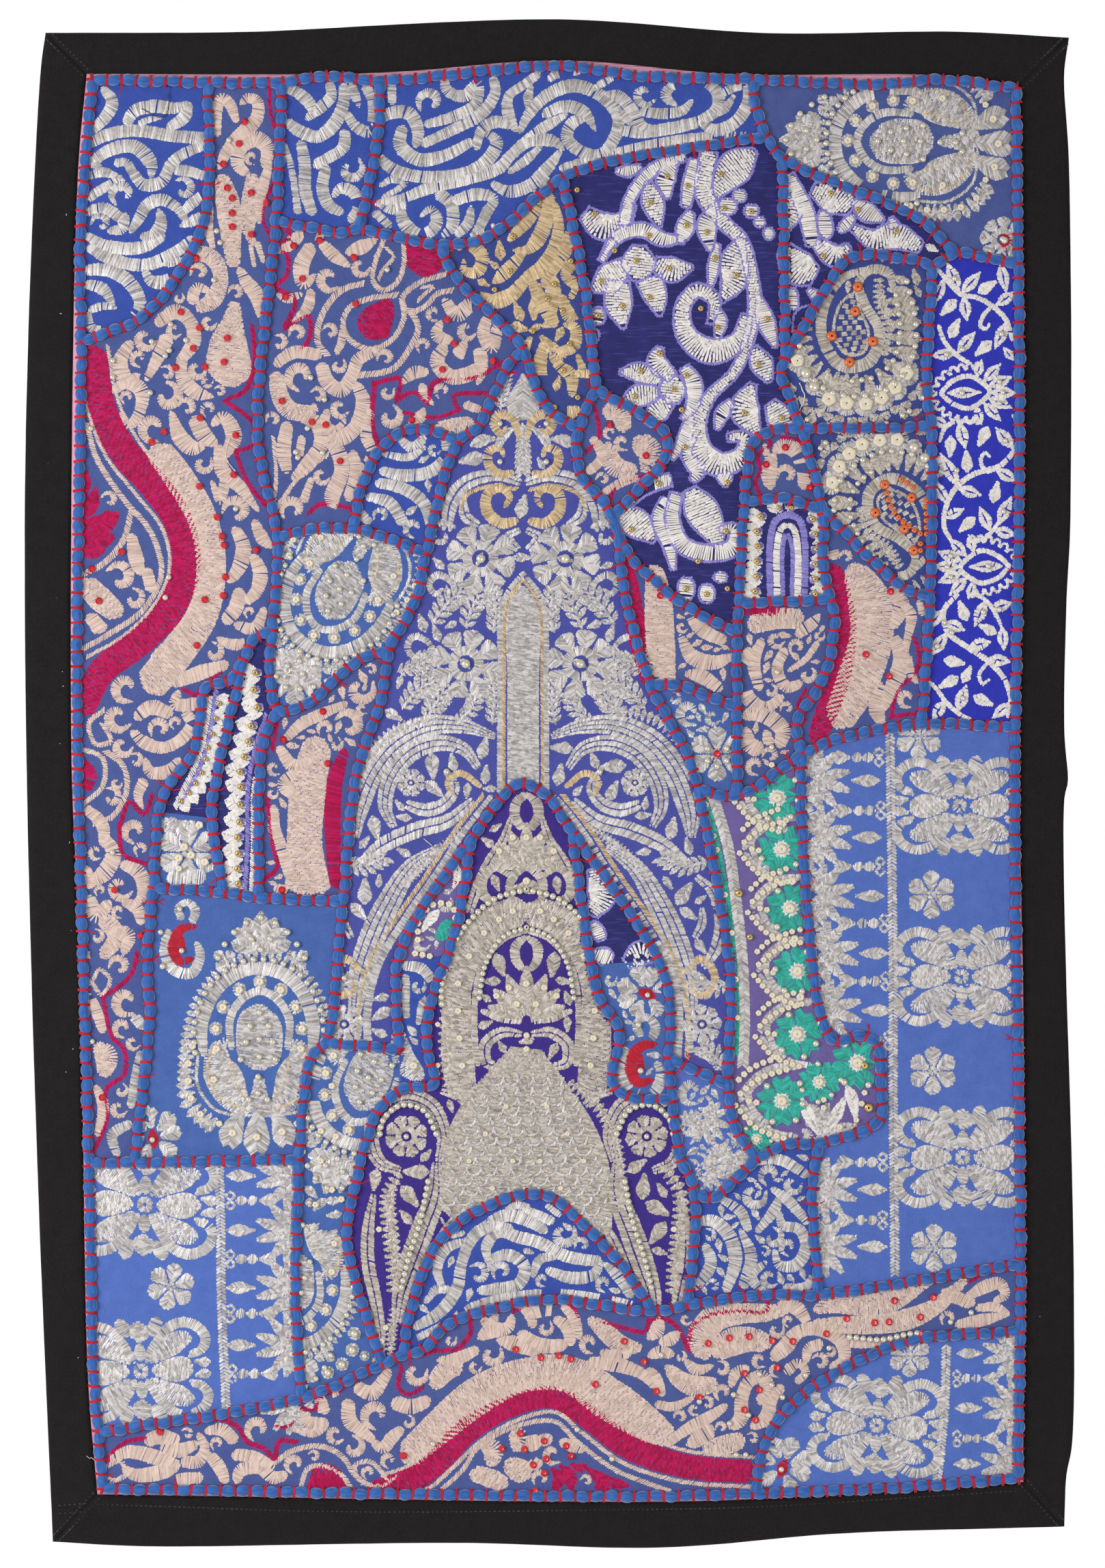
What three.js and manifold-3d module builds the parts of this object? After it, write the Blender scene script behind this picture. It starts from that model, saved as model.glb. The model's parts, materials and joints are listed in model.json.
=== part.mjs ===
// A patchwork wall hanging, in millimetres. It hangs in the plane y = 0, facing -Y, with +Z up.
// The origin is the middle of its top edge. It is drafted flat in x (across) and y (up) with z
// towards the viewer, and the finished group is stood up at the end.
import * as THREE from "three";
import { mergeVertices } from "three/addons/utils/BufferGeometryUtils.js";
import Module from "manifold-3d";

const wasm = await Module();
wasm.setup();

// Layers, as heights of the back and front faces.
const BORDER_BACK = -0.8;
const BORDER_FRONT = 1.8;
const GROUND_BACK = 0;
const GROUND_FRONT = 1;
const PATCH_BACK = 1.5;
const PATCH_FRONT = 2.5;
const BRAID_BACK = 3.1;
const BRAID_FRONT = 6;

// Widths and clearances.
const BRAID_WIDTH = 6;
const BRAID_CREST = 3;
const CUT_WIDTH = 0.3;
const CUT_OVERRUN = 1.5;
const GROUND_INSET = 0.5;
const BRAID_CLEARANCE = 0.35;
const WELD = 1e-4;

// The longest straight steps along a seam, the framing braid and an outline.
const SEAM_STEP = 34;
const FRAME_STEP = 48;
const EDGE_STEP = 80;

// Every sheet is cut from a field of flat cells, which bends forward and back along the lines
// between its cells. The lifts of a column line and of a row line add up where they cross.
const CELL_WIDTH = 120;
const CELL_HEIGHT = 104;
const FIELD_LEFT = -360;
const FIELD_TOP = 20;
const COLUMN_LIFTS = [1.1, -0.3, 0.5, 0, 0.6, -0.4, 0.9];
const ROW_LIFTS = [0, 0, 0.6, -0.2, 0.7, 1.5, 0.4, 0.9, -0.1, 0.5, 1.2];
const PRISM_BACK = -20;
const PRISM_FRONT = 20;

// Cloths by colour.
const CLOTHS = {
  black_cotton: 0x1c191a,
  pink_cotton: 0xe0a0bc,
  royal_blue: 0x3250be,
  sari_blue: 0x3e5aa8,
  vivid_blue: 0x1e28b9,
  navy: 0x262878,
  violet_blue: 0x4b46be,
  deep_violet: 0x321e82,
  mid_blue: 0x3c6ebe,
  cornflower: 0x466ed7,
  grey_violet: 0x69609f,
  braid_blue: 0x2d64b4,
};

// The braid that frames the patchwork. Every route is a row of [across, drop] points, counted from
// the middle of the top edge.
const FRAME_BRAID = [
  { name: "top", braid: "frame_braid",
    route: [[-302, 40], [-226, 42], [-177, 42], [-147, 38], [-112, 41], [6, 31], [59, 38], [134, 40],
      [217, 43], [257, 40], [307, 46]] },
  { name: "right", braid: "frame_braid",
    route: [[307, 46], [309, 283], [306, 508], [310, 821], [308, 962]] },
  { name: "bottom", braid: "frame_braid",
    route: [[308, 962], [234, 968], [134, 972], [48, 974], [-295, 969]] },
  { name: "left", braid: "frame_braid",
    route: [[-295, 969], [-298, 932], [-301, 895], [-304, 754], [-312, 442], [-309, 213],
      [-310, 150], [-302, 40]] },
];

// The braided seams between patches. A route ends on another route or on the frame.
const SEAMS = [
  { name: "corner_sweep", braid: "frame_braid",
    route: [[-226, 42], [-225, 104], [-229, 136], [-247, 171], [-270, 197], [-309, 213]] },
  { name: "left_column", braid: "seam_braid_left",
    route: [[-177, 42], [-181, 133], [-193, 276], [-180, 343], [-183, 403]] },
  { name: "left_column_foot", braid: "seam_braid_left",
    route: [[-183, 403], [-196, 410], [-202, 422], [-211, 436], [-226, 440], [-235, 483],
      [-255, 512], [-262, 573], [-266, 624], [-264, 654], [-274, 754]] },
  { name: "leaf_strip_divider", braid: "seam_braid_left",
    route: [[-202, 422], [-222, 510], [-223, 528], [-215, 576]] },
  { name: "leaf_strip_right", braid: "seam_braid_left",
    route: [[-179, 456], [-188, 472], [-192, 508], [-192, 579]] },
  { name: "paisley_field_top", braid: "seam_braid_left",
    route: [[-262, 573], [-215, 576], [-192, 579], [-137, 582]] },
  { name: "scroll_divider", braid: "seam_braid_top",
    route: [[-112, 41], [-114, 78], [-126, 139]] },
  { name: "scroll_bottom", braid: "seam_braid_top",
    route: [[-181, 133], [-138, 141], [-126, 139], [-72, 149], [-42, 144], [8, 105], [36, 95],
      [142, 78]] },
  { name: "scroll_end", braid: "seam_braid_top",
    route: [[134, 40], [135, 58], [142, 78]] },
  { name: "corner_paisley_slope", braid: "seam_braid_top",
    route: [[142, 78], [153, 92], [243, 132], [267, 155]] },
  { name: "corner_paisley_foot", braid: "seam_braid_right",
    route: [[308, 162], [267, 155], [252, 163]] },
  { name: "white_sprig_side", braid: "seam_braid_right",
    route: [[153, 92], [155, 224]] },
  { name: "white_sprig_arch", braid: "seam_braid_right",
    route: [[252, 163], [234, 158], [198, 157], [187, 169], [155, 224]] },
  { name: "vine_side", braid: "seam_braid_right",
    route: [[252, 163], [248, 243], [251, 269], [250, 380], [245, 465]] },
  { name: "bead_field_divider", braid: "seam_braid_right",
    route: [[165, 270], [251, 269]] },
  { name: "peach_slope", braid: "seam_braid_right",
    route: [[179, 323], [222, 366], [238, 378], [250, 380]] },
  { name: "bead_field_side", braid: "seam_braid_middle",
    route: [[155, 224], [152, 233], [165, 270], [179, 323], [180, 364], [185, 383], [187, 402],
      [179, 436], [164, 460], [162, 472], [166, 484]] },
  { name: "peach_leaf_side", braid: "seam_braid_middle",
    route: [[165, 270], [144, 272], [133, 281], [128, 319], [124, 385], [123, 405], [123, 454],
      [123, 512]] },
  { name: "peach_leaf_foot", braid: "seam_braid_middle",
    route: [[128, 319], [150, 316], [179, 323]] },
  { name: "leaf_arch_foot", braid: "seam_braid_middle",
    route: [[124, 385], [185, 383]] },
  { name: "vine_foot", braid: "seam_braid_middle",
    route: [[166, 484], [187, 475], [245, 465], [306, 467]] },
  { name: "gold_side", braid: "seam_braid_navy",
    route: [[8, 105], [22, 174], [30, 244]] },
  { name: "gold_slope", braid: "seam_braid_yoke_left",
    route: [[-72, 149], [-65, 167], [-18, 218], [-11, 240], [1, 259], [19, 270]] },
  { name: "heart_slope", braid: "seam_braid_navy",
    route: [[30, 244], [75, 273], [76, 288], [41, 328]] },
  { name: "navy_foot", braid: "seam_braid_navy",
    route: [[41, 328], [51, 352], [87, 385], [123, 405]] },
  { name: "yoke_right", braid: "seam_braid_yoke_right",
    route: [[30, 244], [19, 270], [19, 298], [41, 328], [49, 379], [66, 439], [91, 487], [97, 508],
      [119, 633], [117, 703], [123, 733], [136, 751]] },
  { name: "rosette_top", braid: "seam_braid_yoke_right",
    route: [[66, 439], [83, 439], [123, 454]] },
  { name: "teal_top", braid: "seam_braid_yoke_right",
    route: [[97, 508], [123, 512], [166, 484]] },
  { name: "fan_scrap_foot", braid: "seam_braid_yoke_right",
    route: [[95, 774], [106, 777], [136, 751]] },
  { name: "teal_side", braid: "seam_braid_lower_right",
    route: [[166, 484], [165, 519], [180, 663], [189, 674], [205, 670], [215, 676], [218, 708],
      [217, 726], [177, 741], [155, 742], [136, 751]] },
  { name: "scroll_scrap_side", braid: "seam_braid_lower_right",
    route: [[177, 741], [173, 771], [177, 841]] },
  { name: "yoke_left", braid: "seam_braid_yoke_left",
    route: [[-18, 218], [-28, 229], [-49, 270], [-61, 279], [-82, 352], [-89, 384], [-106, 416],
      [-111, 447], [-128, 499], [-137, 582], [-148, 675], [-157, 683], [-166, 752]] },
  { name: "small_scroll_top", braid: "seam_braid_yoke_left",
    route: [[-61, 279], [-79, 271], [-100, 273], [-114, 286], [-124, 308], [-130, 336]] },
  { name: "bead_paisley_top", braid: "seam_braid_yoke_left",
    route: [[-180, 343], [-165, 338], [-130, 336], [-82, 352]] },
  { name: "bead_paisley_foot", braid: "seam_braid_yoke_left",
    route: [[-106, 416], [-128, 424], [-161, 452], [-179, 456], [-185, 431], [-183, 403]] },
  { name: "wing_left_foot", braid: "seam_braid_yoke_left",
    route: [[-148, 675], [-100, 679]] },
  { name: "arch", braid: "seam_braid_arch",
    route: [[-100, 679], [-101, 622], [-89, 594], [-52, 541], [-27, 508], [-17, 504], [-5, 510],
      [14, 535], [73, 624], [79, 654], [78, 685]] },
  { name: "panel_left", braid: "seam_braid_arch",
    route: [[-52, 541], [-62, 600], [-80, 654], [-81, 681], [-76, 701], [-98, 706], [-113, 719],
      [-130, 775], [-134, 805], [-111, 887]] },
  { name: "panel_right", braid: "seam_braid_arch",
    route: [[14, 535], [33, 647], [45, 665], [42, 704], [54, 711], [80, 713]] },
  { name: "panel_right_foot", braid: "seam_braid_arch",
    route: [[78, 685], [80, 713], [85, 749], [95, 774], [91, 848]] },
  { name: "wing_right_foot", braid: "seam_braid_arch",
    route: [[78, 685], [117, 703]] },
  { name: "arch_scroll_hood", braid: "seam_braid_bottom",
    route: [[-97, 881], [-93, 855], [-75, 808], [-49, 786], [-17, 775], [1, 777], [27, 800],
      [48, 823], [67, 852]] },
  { name: "border_scrap_top", braid: "seam_braid_bottom",
    route: [[-304, 754], [-274, 754], [-166, 752]] },
  { name: "border_scrap_side", braid: "seam_braid_bottom",
    route: [[-166, 752], [-168, 849], [-164, 909]] },
  { name: "bottom_wave", braid: "seam_braid_bottom",
    route: [[-298, 932], [-164, 909], [-111, 887], [-97, 881], [-83, 876], [-68, 861], [-33, 849],
      [1, 844], [67, 852], [91, 848], [141, 841], [177, 841], [310, 821]] },
  { name: "corner_scrap_sweep", braid: "frame_braid",
    route: [[310, 865], [231, 873], [164, 909], [143, 935], [134, 972]] },
];

// Patch edges that meet without a braid.
const PLAIN_CUTS = [
  { name: "leaf_and_silver",
    route: [[-258, 523], [-223, 527]] },
  { name: "teal_and_scroll",
    route: [[-101, 622], [-68, 617]] },
  { name: "paisley_and_half_paisley",
    route: [[-167, 791], [-134, 801]] },
  { name: "navy_and_rosette",
    route: [[27, 624], [71, 620]] },
  { name: "scroll_and_paisley",
    route: [[-100, 679], [-98, 706]] },
];

// The black border from its outer edge to the opening in it.
const BORDER_OUTER = [
  { side: "top", route: [[-333, 9], [-200, 8], [6, 0], [141, 9], [268, 8], [342, 12]] },
  { side: "right", route: [[342, 12], [339, 37], [342, 96], [343, 330], [340, 387], [339, 471], [341, 503],
      [339, 514], [345, 825], [344, 941], [340, 960], [339, 994]] },
  { side: "bottom", route: [[339, 994], [187, 999], [71, 1008], [-61, 1005], [-270, 1007], [-328, 1004]] },
  { side: "left", route: [[-328, 1004], [-337, 793], [-345, 501], [-346, 276], [-336, 33], [-333, 9]] },
];
const BORDER_INNER = [
  { side: "top", route: [[-306, 36], [-111, 35], [6, 27], [119, 36], [257, 37], [309, 44]] },
  { side: "right", route: [[309, 44], [312, 197], [309, 508], [312, 647], [312, 965]] },
  { side: "bottom", route: [[312, 965], [134, 976], [48, 978], [-299, 973]] },
  { side: "left", route: [[-299, 973], [-305, 895], [-310, 624], [-316, 483], [-312, 104], [-306, 36]] },
];

// Each patch and a place inside it.
const PATCHES = [
  { name: "patch_corner_scroll", cloth: "royal_blue", x: -273, drop: 123 },
  { name: "patch_peach_column", cloth: "sari_blue", x: -210, drop: 213 },
  { name: "patch_small_scroll", cloth: "royal_blue", x: -147, drop: 87 },
  { name: "patch_wide_scroll", cloth: "royal_blue", x: 20, drop: 64 },
  { name: "patch_corner_paisley", cloth: "mid_blue", x: 245, drop: 87 },
  { name: "patch_white_sprig", cloth: "navy", x: 173, drop: 141 },
  { name: "patch_bead_sprays", cloth: "mid_blue", x: 209, drop: 213 },
  { name: "patch_vine", cloth: "vivid_blue", x: 281, drop: 303 },
  { name: "patch_gold_leaves", cloth: "royal_blue", x: -21, drop: 181 },
  { name: "patch_peach_rose", cloth: "sari_blue", x: -138, drop: 213 },
  { name: "patch_little_scroll", cloth: "royal_blue", x: -93, drop: 303 },
  { name: "patch_bead_paisley", cloth: "mid_blue", x: -138, drop: 384 },
  { name: "patch_peach_band_left", cloth: "sari_blue", x: -160, drop: 528 },
  { name: "patch_leaf_strip_left", cloth: "navy", x: -232, drop: 496 },
  { name: "patch_leaf_strip_right", cloth: "navy", x: -205, drop: 483 },
  { name: "patch_silver_flower", cloth: "mid_blue", x: -237, drop: 550 },
  { name: "patch_paisley_field", cloth: "mid_blue", x: -205, drop: 663 },
  { name: "patch_border_left", cloth: "cornflower", x: -228, drop: 820 },
  { name: "patch_peach_wave", cloth: "sari_blue", x: -48, drop: 910 },
  { name: "patch_border_right", cloth: "cornflower", x: 267, drop: 618 },
  { name: "patch_border_corner", cloth: "cornflower", x: 245, drop: 924 },
  { name: "patch_teal_flowers", cloth: "grey_violet", x: 150, drop: 618 },
  { name: "patch_rosette", cloth: "mid_blue", x: 101, drop: 474 },
  { name: "patch_peach_wedge", cloth: "sari_blue", x: 78, drop: 411 },
  { name: "patch_peach_leaves", cloth: "sari_blue", x: 150, drop: 429 },
  { name: "patch_peach_band_right", cloth: "sari_blue", x: 213, drop: 420 },
  { name: "patch_leaf_arch", cloth: "navy", x: 155, drop: 348 },
  { name: "patch_peach_leaf", cloth: "sari_blue", x: 150, drop: 294 },
  { name: "patch_bead_sprays_low", cloth: "mid_blue", x: 218, drop: 321 },
  { name: "patch_navy_flowers", cloth: "navy", x: 87, drop: 177 },
  { name: "patch_peach_heart", cloth: "sari_blue", x: 42, drop: 285 },
  { name: "patch_yoke", cloth: "violet_blue", x: -16, drop: 393 },
  { name: "patch_arch_panel", cloth: "deep_violet", x: -16, drop: 663 },
  { name: "patch_arch_scroll", cloth: "royal_blue", x: -17, drop: 820 },
  { name: "patch_teal_scrap", cloth: "grey_violet", x: -75, drop: 595 },
  { name: "patch_scroll_scrap_left", cloth: "royal_blue", x: -93, drop: 663 },
  { name: "patch_bead_scrap", cloth: "mid_blue", x: -138, drop: 708 },
  { name: "patch_half_paisley", cloth: "mid_blue", x: -147, drop: 834 },
  { name: "patch_navy_scrap", cloth: "navy", x: 38, drop: 595 },
  { name: "patch_flower_scrap", cloth: "mid_blue", x: 56, drop: 663 },
  { name: "patch_fan_scrap", cloth: "cornflower", x: 105, drop: 735 },
  { name: "patch_scroll_scrap_right", cloth: "royal_blue", x: 137, drop: 807 },
];

// The border strips, with a place inside each.
const STRIPS = [
  { name: "border_top", x: 0, drop: 15 },
  { name: "border_right", x: 325, drop: 500 },
  { name: "border_bottom", x: 0, drop: 990 },
  { name: "border_left", x: -328, drop: 500 },
];

// A smooth line through a route, straight between points that are closer than one step.
function sampled(route, step) {
  const knots = route.map(([x, drop]) => new THREE.Vector3(x, -drop, 0));
  const curve = new THREE.CatmullRomCurve3(knots, false, "centripetal");
  const points = [];
  for (let i = 0; i + 1 < knots.length; i += 1) {
    const pieces = Math.ceil(knots[i].distanceTo(knots[i + 1]) / step);
    for (let k = 0; k < pieces; k += 1) {
      points.push(curve.getPoint((i + k / pieces) / (knots.length - 1)));
    }
  }
  points.push(knots.at(-1));
  return points;
}

// A closed outline from sides that share their end points.
function outline(sides) {
  return sides.flatMap(({ route }) => sampled(route, EDGE_STEP).slice(0, -1));
}

// The same line with each end moved out along its direction, or in where the distance is negative.
function lengthened(points, atStart, atEnd) {
  const [first, second] = points;
  const [previous, last] = points.slice(-2);
  const start = first.clone().sub(second).setLength(atStart).add(first);
  const end = last.clone().sub(previous).setLength(atEnd).add(last);
  return [start, ...points.slice(1, -1), end];
}

// The line moved sideways, to its left where the distance is positive.
function beside(points, distance, closed) {
  const count = points.length;
  return points.map((point, i) => {
    const before = closed ? points[(i + count - 1) % count] : points[Math.max(i - 1, 0)];
    const after = closed ? points[(i + 1) % count] : points[Math.min(i + 1, count - 1)];
    const along = after.clone().sub(before).normalize();
    return new THREE.Vector3(point.x - along.y * distance, point.y + along.x * distance, 0);
  });
}

// The lift between two neighbouring lines of the field, from the cells counted from its first line.
function between(lifts, cells) {
  const line = THREE.MathUtils.clamp(Math.floor(cells), 0, lifts.length - 2);
  return THREE.MathUtils.lerp(lifts[line], lifts[line + 1], cells - line);
}

// How far the hung cloth stands forward at a place. It is zero at the origin.
function wave(x, y) {
  const columns = (x - FIELD_LEFT) / CELL_WIDTH;
  const rows = (FIELD_TOP - y) / CELL_HEIGHT;
  return between(COLUMN_LIFTS, columns) + between(ROW_LIFTS, rows);
}

// Moves a flat drafted geometry forward or back onto the waves.
function laidOnWaves(geometry) {
  const position = geometry.attributes.position;
  for (let i = 0; i < position.count; i += 1) {
    position.setZ(i, position.getZ(i) + wave(position.getX(i), position.getY(i)));
  }
  return geometry;
}

function solidOf(geometry) {
  geometry.deleteAttribute("normal");
  geometry.deleteAttribute("uv");
  const welded = mergeVertices(geometry, WELD);
  const mesh = new wasm.Mesh({
    numProp: 3,
    vertProperties: Float32Array.from(welded.attributes.position.array),
    triVerts: Uint32Array.from(welded.index.array),
  });
  return new wasm.Manifold(mesh);
}

function geometryOf(solid) {
  const mesh = solid.getMesh();
  const geometry = new THREE.BufferGeometry();
  geometry.setAttribute("position", new THREE.BufferAttribute(mesh.vertProperties, 3));
  geometry.setIndex(new THREE.BufferAttribute(mesh.triVerts, 1));
  return geometry;
}

// A wide sheet between two heights, from which the cloths are cut.
function sheet(back, front) {
  const columns = COLUMN_LIFTS.length - 1;
  const rows = ROW_LIFTS.length - 1;
  const width = columns * CELL_WIDTH;
  const height = rows * CELL_HEIGHT;
  const box = new THREE.BoxGeometry(width, height, front - back, columns, rows, 1);
  box.translate(FIELD_LEFT + width / 2, FIELD_TOP - height / 2, (back + front) / 2);
  return solidOf(laidOnWaves(box));
}

// A closed outline carried straight through all the layers, for cutting them.
function prism(points) {
  const depth = PRISM_FRONT - PRISM_BACK;
  const geometry = new THREE.ExtrudeGeometry(new THREE.Shape(points), { depth, bevelEnabled: false });
  return solidOf(geometry.translate(0, 0, PRISM_BACK));
}

// A narrow cut along a line.
function cut(points) {
  const line = lengthened(points, CUT_OVERRUN, CUT_OVERRUN);
  const left = beside(line, CUT_WIDTH / 2, false);
  const right = beside(line, -CUT_WIDTH / 2, false).reverse();
  return prism([...left, ...right]);
}

// A path whose evenly spaced samples are the points it was made from.
class Path extends THREE.CatmullRomCurve3 {
  getPointAt(u) {
    return this.getPoint(u);
  }

  getTangentAt(u) {
    return this.getTangent(u);
  }
}

// A ridge of a given section along a line. Along a flat path, a section's x points backwards.
function ridge(line, section) {
  const shape = new THREE.Shape(section.map(([half, front]) => new THREE.Vector2(-front, half)));
  const path = new Path(line, false, "centripetal");
  const settings = { steps: line.length - 1, extrudePath: path };
  return solidOf(laidOnWaves(new THREE.ExtrudeGeometry(shape, settings)));
}

function braid(line) {
  const foot = BRAID_WIDTH / 2;
  const crest = BRAID_CREST / 2;
  return ridge(line, [[-foot, BRAID_BACK], [-crest, BRAID_FRONT], [crest, BRAID_FRONT],
    [foot, BRAID_BACK]]);
}

// The room that a braid needs, kept free of the braids that are laid after it.
function braidRoom(line) {
  const half = BRAID_WIDTH / 2 + BRAID_CLEARANCE;
  const back = BRAID_BACK - BRAID_CLEARANCE;
  const front = BRAID_FRONT + BRAID_CLEARANCE;
  return ridge(line, [[-half, back], [-half, front], [half, front], [half, back]]);
}

function joined(solids) {
  return solids.reduce((whole, solid) => whole.add(solid));
}

// Whether the front of a body covers a place.
function covers(body, { x, drop }) {
  const { vertProperties, triVerts } = body.getMesh();
  const place = new THREE.Vector3(x, -drop, 0);
  for (let i = 0; i < triVerts.length; i += 3) {
    const [a, b, c] = [0, 1, 2].map((k) =>
      new THREE.Vector3().fromArray(vertProperties, triVerts[i + k] * 3).setZ(0));
    const facing = new THREE.Triangle(a, b, c).getNormal(new THREE.Vector3()).z;
    if (facing > 0 && THREE.Triangle.containsPoint(place, a, b, c)) return true;
  }
  return false;
}

// The body itself, without crumbs that a cut leaves at its ends.
function largest(solid) {
  return solid.decompose().reduce((best, body) => (body.volume() > best.volume() ? body : best));
}

function piece(name, solid, cloth) {
  const geometry = geometryOf(solid);
  geometry.computeVertexNormals();
  const look = { color: CLOTHS[cloth], roughness: 0.9, metalness: 0 };
  const mesh = new THREE.Mesh(geometry, new THREE.MeshStandardMaterial(look));
  mesh.name = name;
  return mesh;
}

const hanging = new THREE.Group();

// The patchwork, cut along its seams.
const seamCuts = [...SEAMS, ...PLAIN_CUTS].map(({ route }) => cut(sampled(route, SEAM_STEP)));
const patchwork = sheet(PATCH_BACK, PATCH_FRONT).intersect(prism(outline(FRAME_BRAID)));
const cloths = patchwork.subtract(joined(seamCuts)).decompose();
for (const patch of PATCHES) {
  const body = cloths.find((candidate) => covers(candidate, patch));
  hanging.add(piece(patch.name, body, patch.cloth));
}

// The ground cloth fills the opening of the border, behind the patches.
const opening = outline(BORDER_INNER);
const ground = sheet(GROUND_BACK, GROUND_FRONT).intersect(prism(beside(opening, -GROUND_INSET, true)));
hanging.add(piece("ground_cloth", ground, "pink_cotton"));

// The border is cut into four strips by mitres from the corners of its opening.
const mitres = BORDER_INNER.map(({ route }, i) =>
  cut([route[0], BORDER_OUTER[i].route[0]].map(([x, drop]) => new THREE.Vector3(x, -drop, 0))));
const whole = sheet(BORDER_BACK, BORDER_FRONT).intersect(prism(outline(BORDER_OUTER)));
const strips = whole.subtract(joined([prism(opening), ...mitres])).decompose();
for (const strip of STRIPS) {
  const body = strips.find((candidate) => covers(candidate, strip));
  hanging.add(piece(strip.name, body, "black_cotton"));
}

// The couched braids. A seam's braid runs on into others of its own piece and stops short of the rest.
const braids = Map.groupBy([...FRAME_BRAID, ...SEAMS], (seam) => seam.braid);
const rooms = [];
for (const [name, seams] of braids) {
  const step = name.startsWith("frame") ? FRAME_STEP : SEAM_STEP;
  const lines = seams.map(({ route }) => sampled(route, step));
  const overrun = (end, own) => {
    const joins = lines.some((line) => line !== own && line.some((point) => point.equals(end)));
    return joins ? BRAID_WIDTH / 2 : -BRAID_WIDTH / 2 - BRAID_CLEARANCE;
  };
  const laid = lines.map((line) => lengthened(line, overrun(line[0], line), overrun(line.at(-1), line)));
  const ridges = joined(laid.map(braid));
  const free = rooms.length > 0 ? ridges.subtract(joined(rooms)) : ridges;
  hanging.add(piece(name, largest(free), "braid_blue"));
  rooms.push(...laid.map(braidRoom));
}

hanging.rotation.x = Math.PI / 2;

export default hanging;
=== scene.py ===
"""A patchwork wall hanging of embroidered sari scraps. Its seams are covered by couched blue
roving, and a mitred black border frames it."""

import json

import bpy
import numpy as np
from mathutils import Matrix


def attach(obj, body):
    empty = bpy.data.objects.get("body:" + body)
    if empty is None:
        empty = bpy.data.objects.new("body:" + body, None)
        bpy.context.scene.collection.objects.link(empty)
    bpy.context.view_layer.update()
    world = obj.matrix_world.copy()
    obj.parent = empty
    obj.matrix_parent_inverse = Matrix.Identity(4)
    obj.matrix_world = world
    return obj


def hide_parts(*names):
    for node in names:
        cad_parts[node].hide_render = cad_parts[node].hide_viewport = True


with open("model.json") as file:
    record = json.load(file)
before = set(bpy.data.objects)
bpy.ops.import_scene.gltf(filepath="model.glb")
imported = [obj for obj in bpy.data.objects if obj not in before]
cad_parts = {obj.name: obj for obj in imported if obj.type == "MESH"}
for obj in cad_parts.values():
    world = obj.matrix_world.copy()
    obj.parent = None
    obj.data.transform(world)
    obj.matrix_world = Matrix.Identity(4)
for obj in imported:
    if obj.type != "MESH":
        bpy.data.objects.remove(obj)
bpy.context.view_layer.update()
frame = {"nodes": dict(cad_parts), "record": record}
chance = np.random.default_rng(27)

# The view is straight on and as wide as the photograph. Soft light comes from the left and from
# the lower right on a white ground, and a third lamp lights the back. The floor is small and low,
# out of the front view.

SQUARE = 0.00045
MIDDLE = 806
TOP = 27
SHEET_HEIGHT = 2296 * SQUARE
LENS = 85
SENSOR = 36
CAMERA = (3 * SQUARE, -SHEET_HEIGHT * LENS / SENSOR - 0.004, (TOP - 1148) * SQUARE)
LIT_PLACE = (0, 0, -0.5)
LAMPS = [
    ("left", (-1.5, -1.25, -0.35), 0.8, 25),
    ("lower_right", (0.9, -2.2, -1.1), 1.4, 15),
    ("behind", (0.6, 2.2, 0.4), 1.6, 30),
]
SOFT_LIGHT = (1.0, 0.98, 0.95, 1)
SOFT_STRENGTH = 0.52
FLOOR_HALF = 0.8
FLOOR_HEIGHT = -1.32


def view_and_light():
    """A camera in front of the middle of the view, at the distance where the sheet fills it."""
    camera = bpy.data.objects.new("camera", bpy.data.cameras.new("camera"))
    camera.data.lens = LENS
    camera.data.sensor_width = SENSOR
    camera.location = CAMERA
    camera.rotation_euler = (np.pi / 2, 0, 0)
    bpy.context.scene.collection.objects.link(camera)
    bpy.context.scene.camera = camera
    for name, place, width, watts in LAMPS:
        lamp = bpy.data.lights.new(name, "AREA")
        lamp.size = width
        lamp.energy = watts
        holder = bpy.data.objects.new(name, lamp)
        holder.location = place
        aim = np.array(LIT_PLACE) - np.array(place)
        holder.rotation_euler = (np.arctan2(np.hypot(*aim[:2]), -aim[2]), 0,
                                 np.arctan2(-aim[0], aim[1]))
        bpy.context.scene.collection.objects.link(holder)
    world = bpy.data.worlds.new("studio")
    world.use_nodes = True
    bpy.context.scene.world = world
    nodes, links = world.node_tree.nodes, world.node_tree.links
    soft = nodes["Background"]
    soft.inputs["Color"].default_value = SOFT_LIGHT
    soft.inputs["Strength"].default_value = SOFT_STRENGTH
    white = nodes.new("ShaderNodeBackground")
    white.inputs["Color"].default_value = (1, 1, 1, 1)
    either = nodes.new("ShaderNodeMixShader")
    path = nodes.new("ShaderNodeLightPath")
    links.new(path.outputs["Is Camera Ray"], either.inputs[0])
    links.new(soft.outputs[0], either.inputs[1])
    links.new(white.outputs[0], either.inputs[2])
    links.new(either.outputs[0], nodes["World Output"].inputs["Surface"])
    bpy.context.scene.view_settings.view_transform = "Standard"


def surface_of(name, points, faces, materials, smooth=True):
    """A mesh object from rows of points in metres and rows of corner numbers."""
    mesh = bpy.data.meshes.new(name)
    mesh.from_pydata(np.asarray(points, float).reshape(-1, 3).tolist(), [],
                     np.asarray(faces).tolist() if isinstance(faces, np.ndarray) else faces)
    mesh.polygons.foreach_set("use_smooth", np.full(len(mesh.polygons), smooth))
    for material in materials:
        mesh.materials.append(material)
    piece = bpy.data.objects.new(name, mesh)
    bpy.context.scene.collection.objects.link(piece)
    return piece


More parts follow.
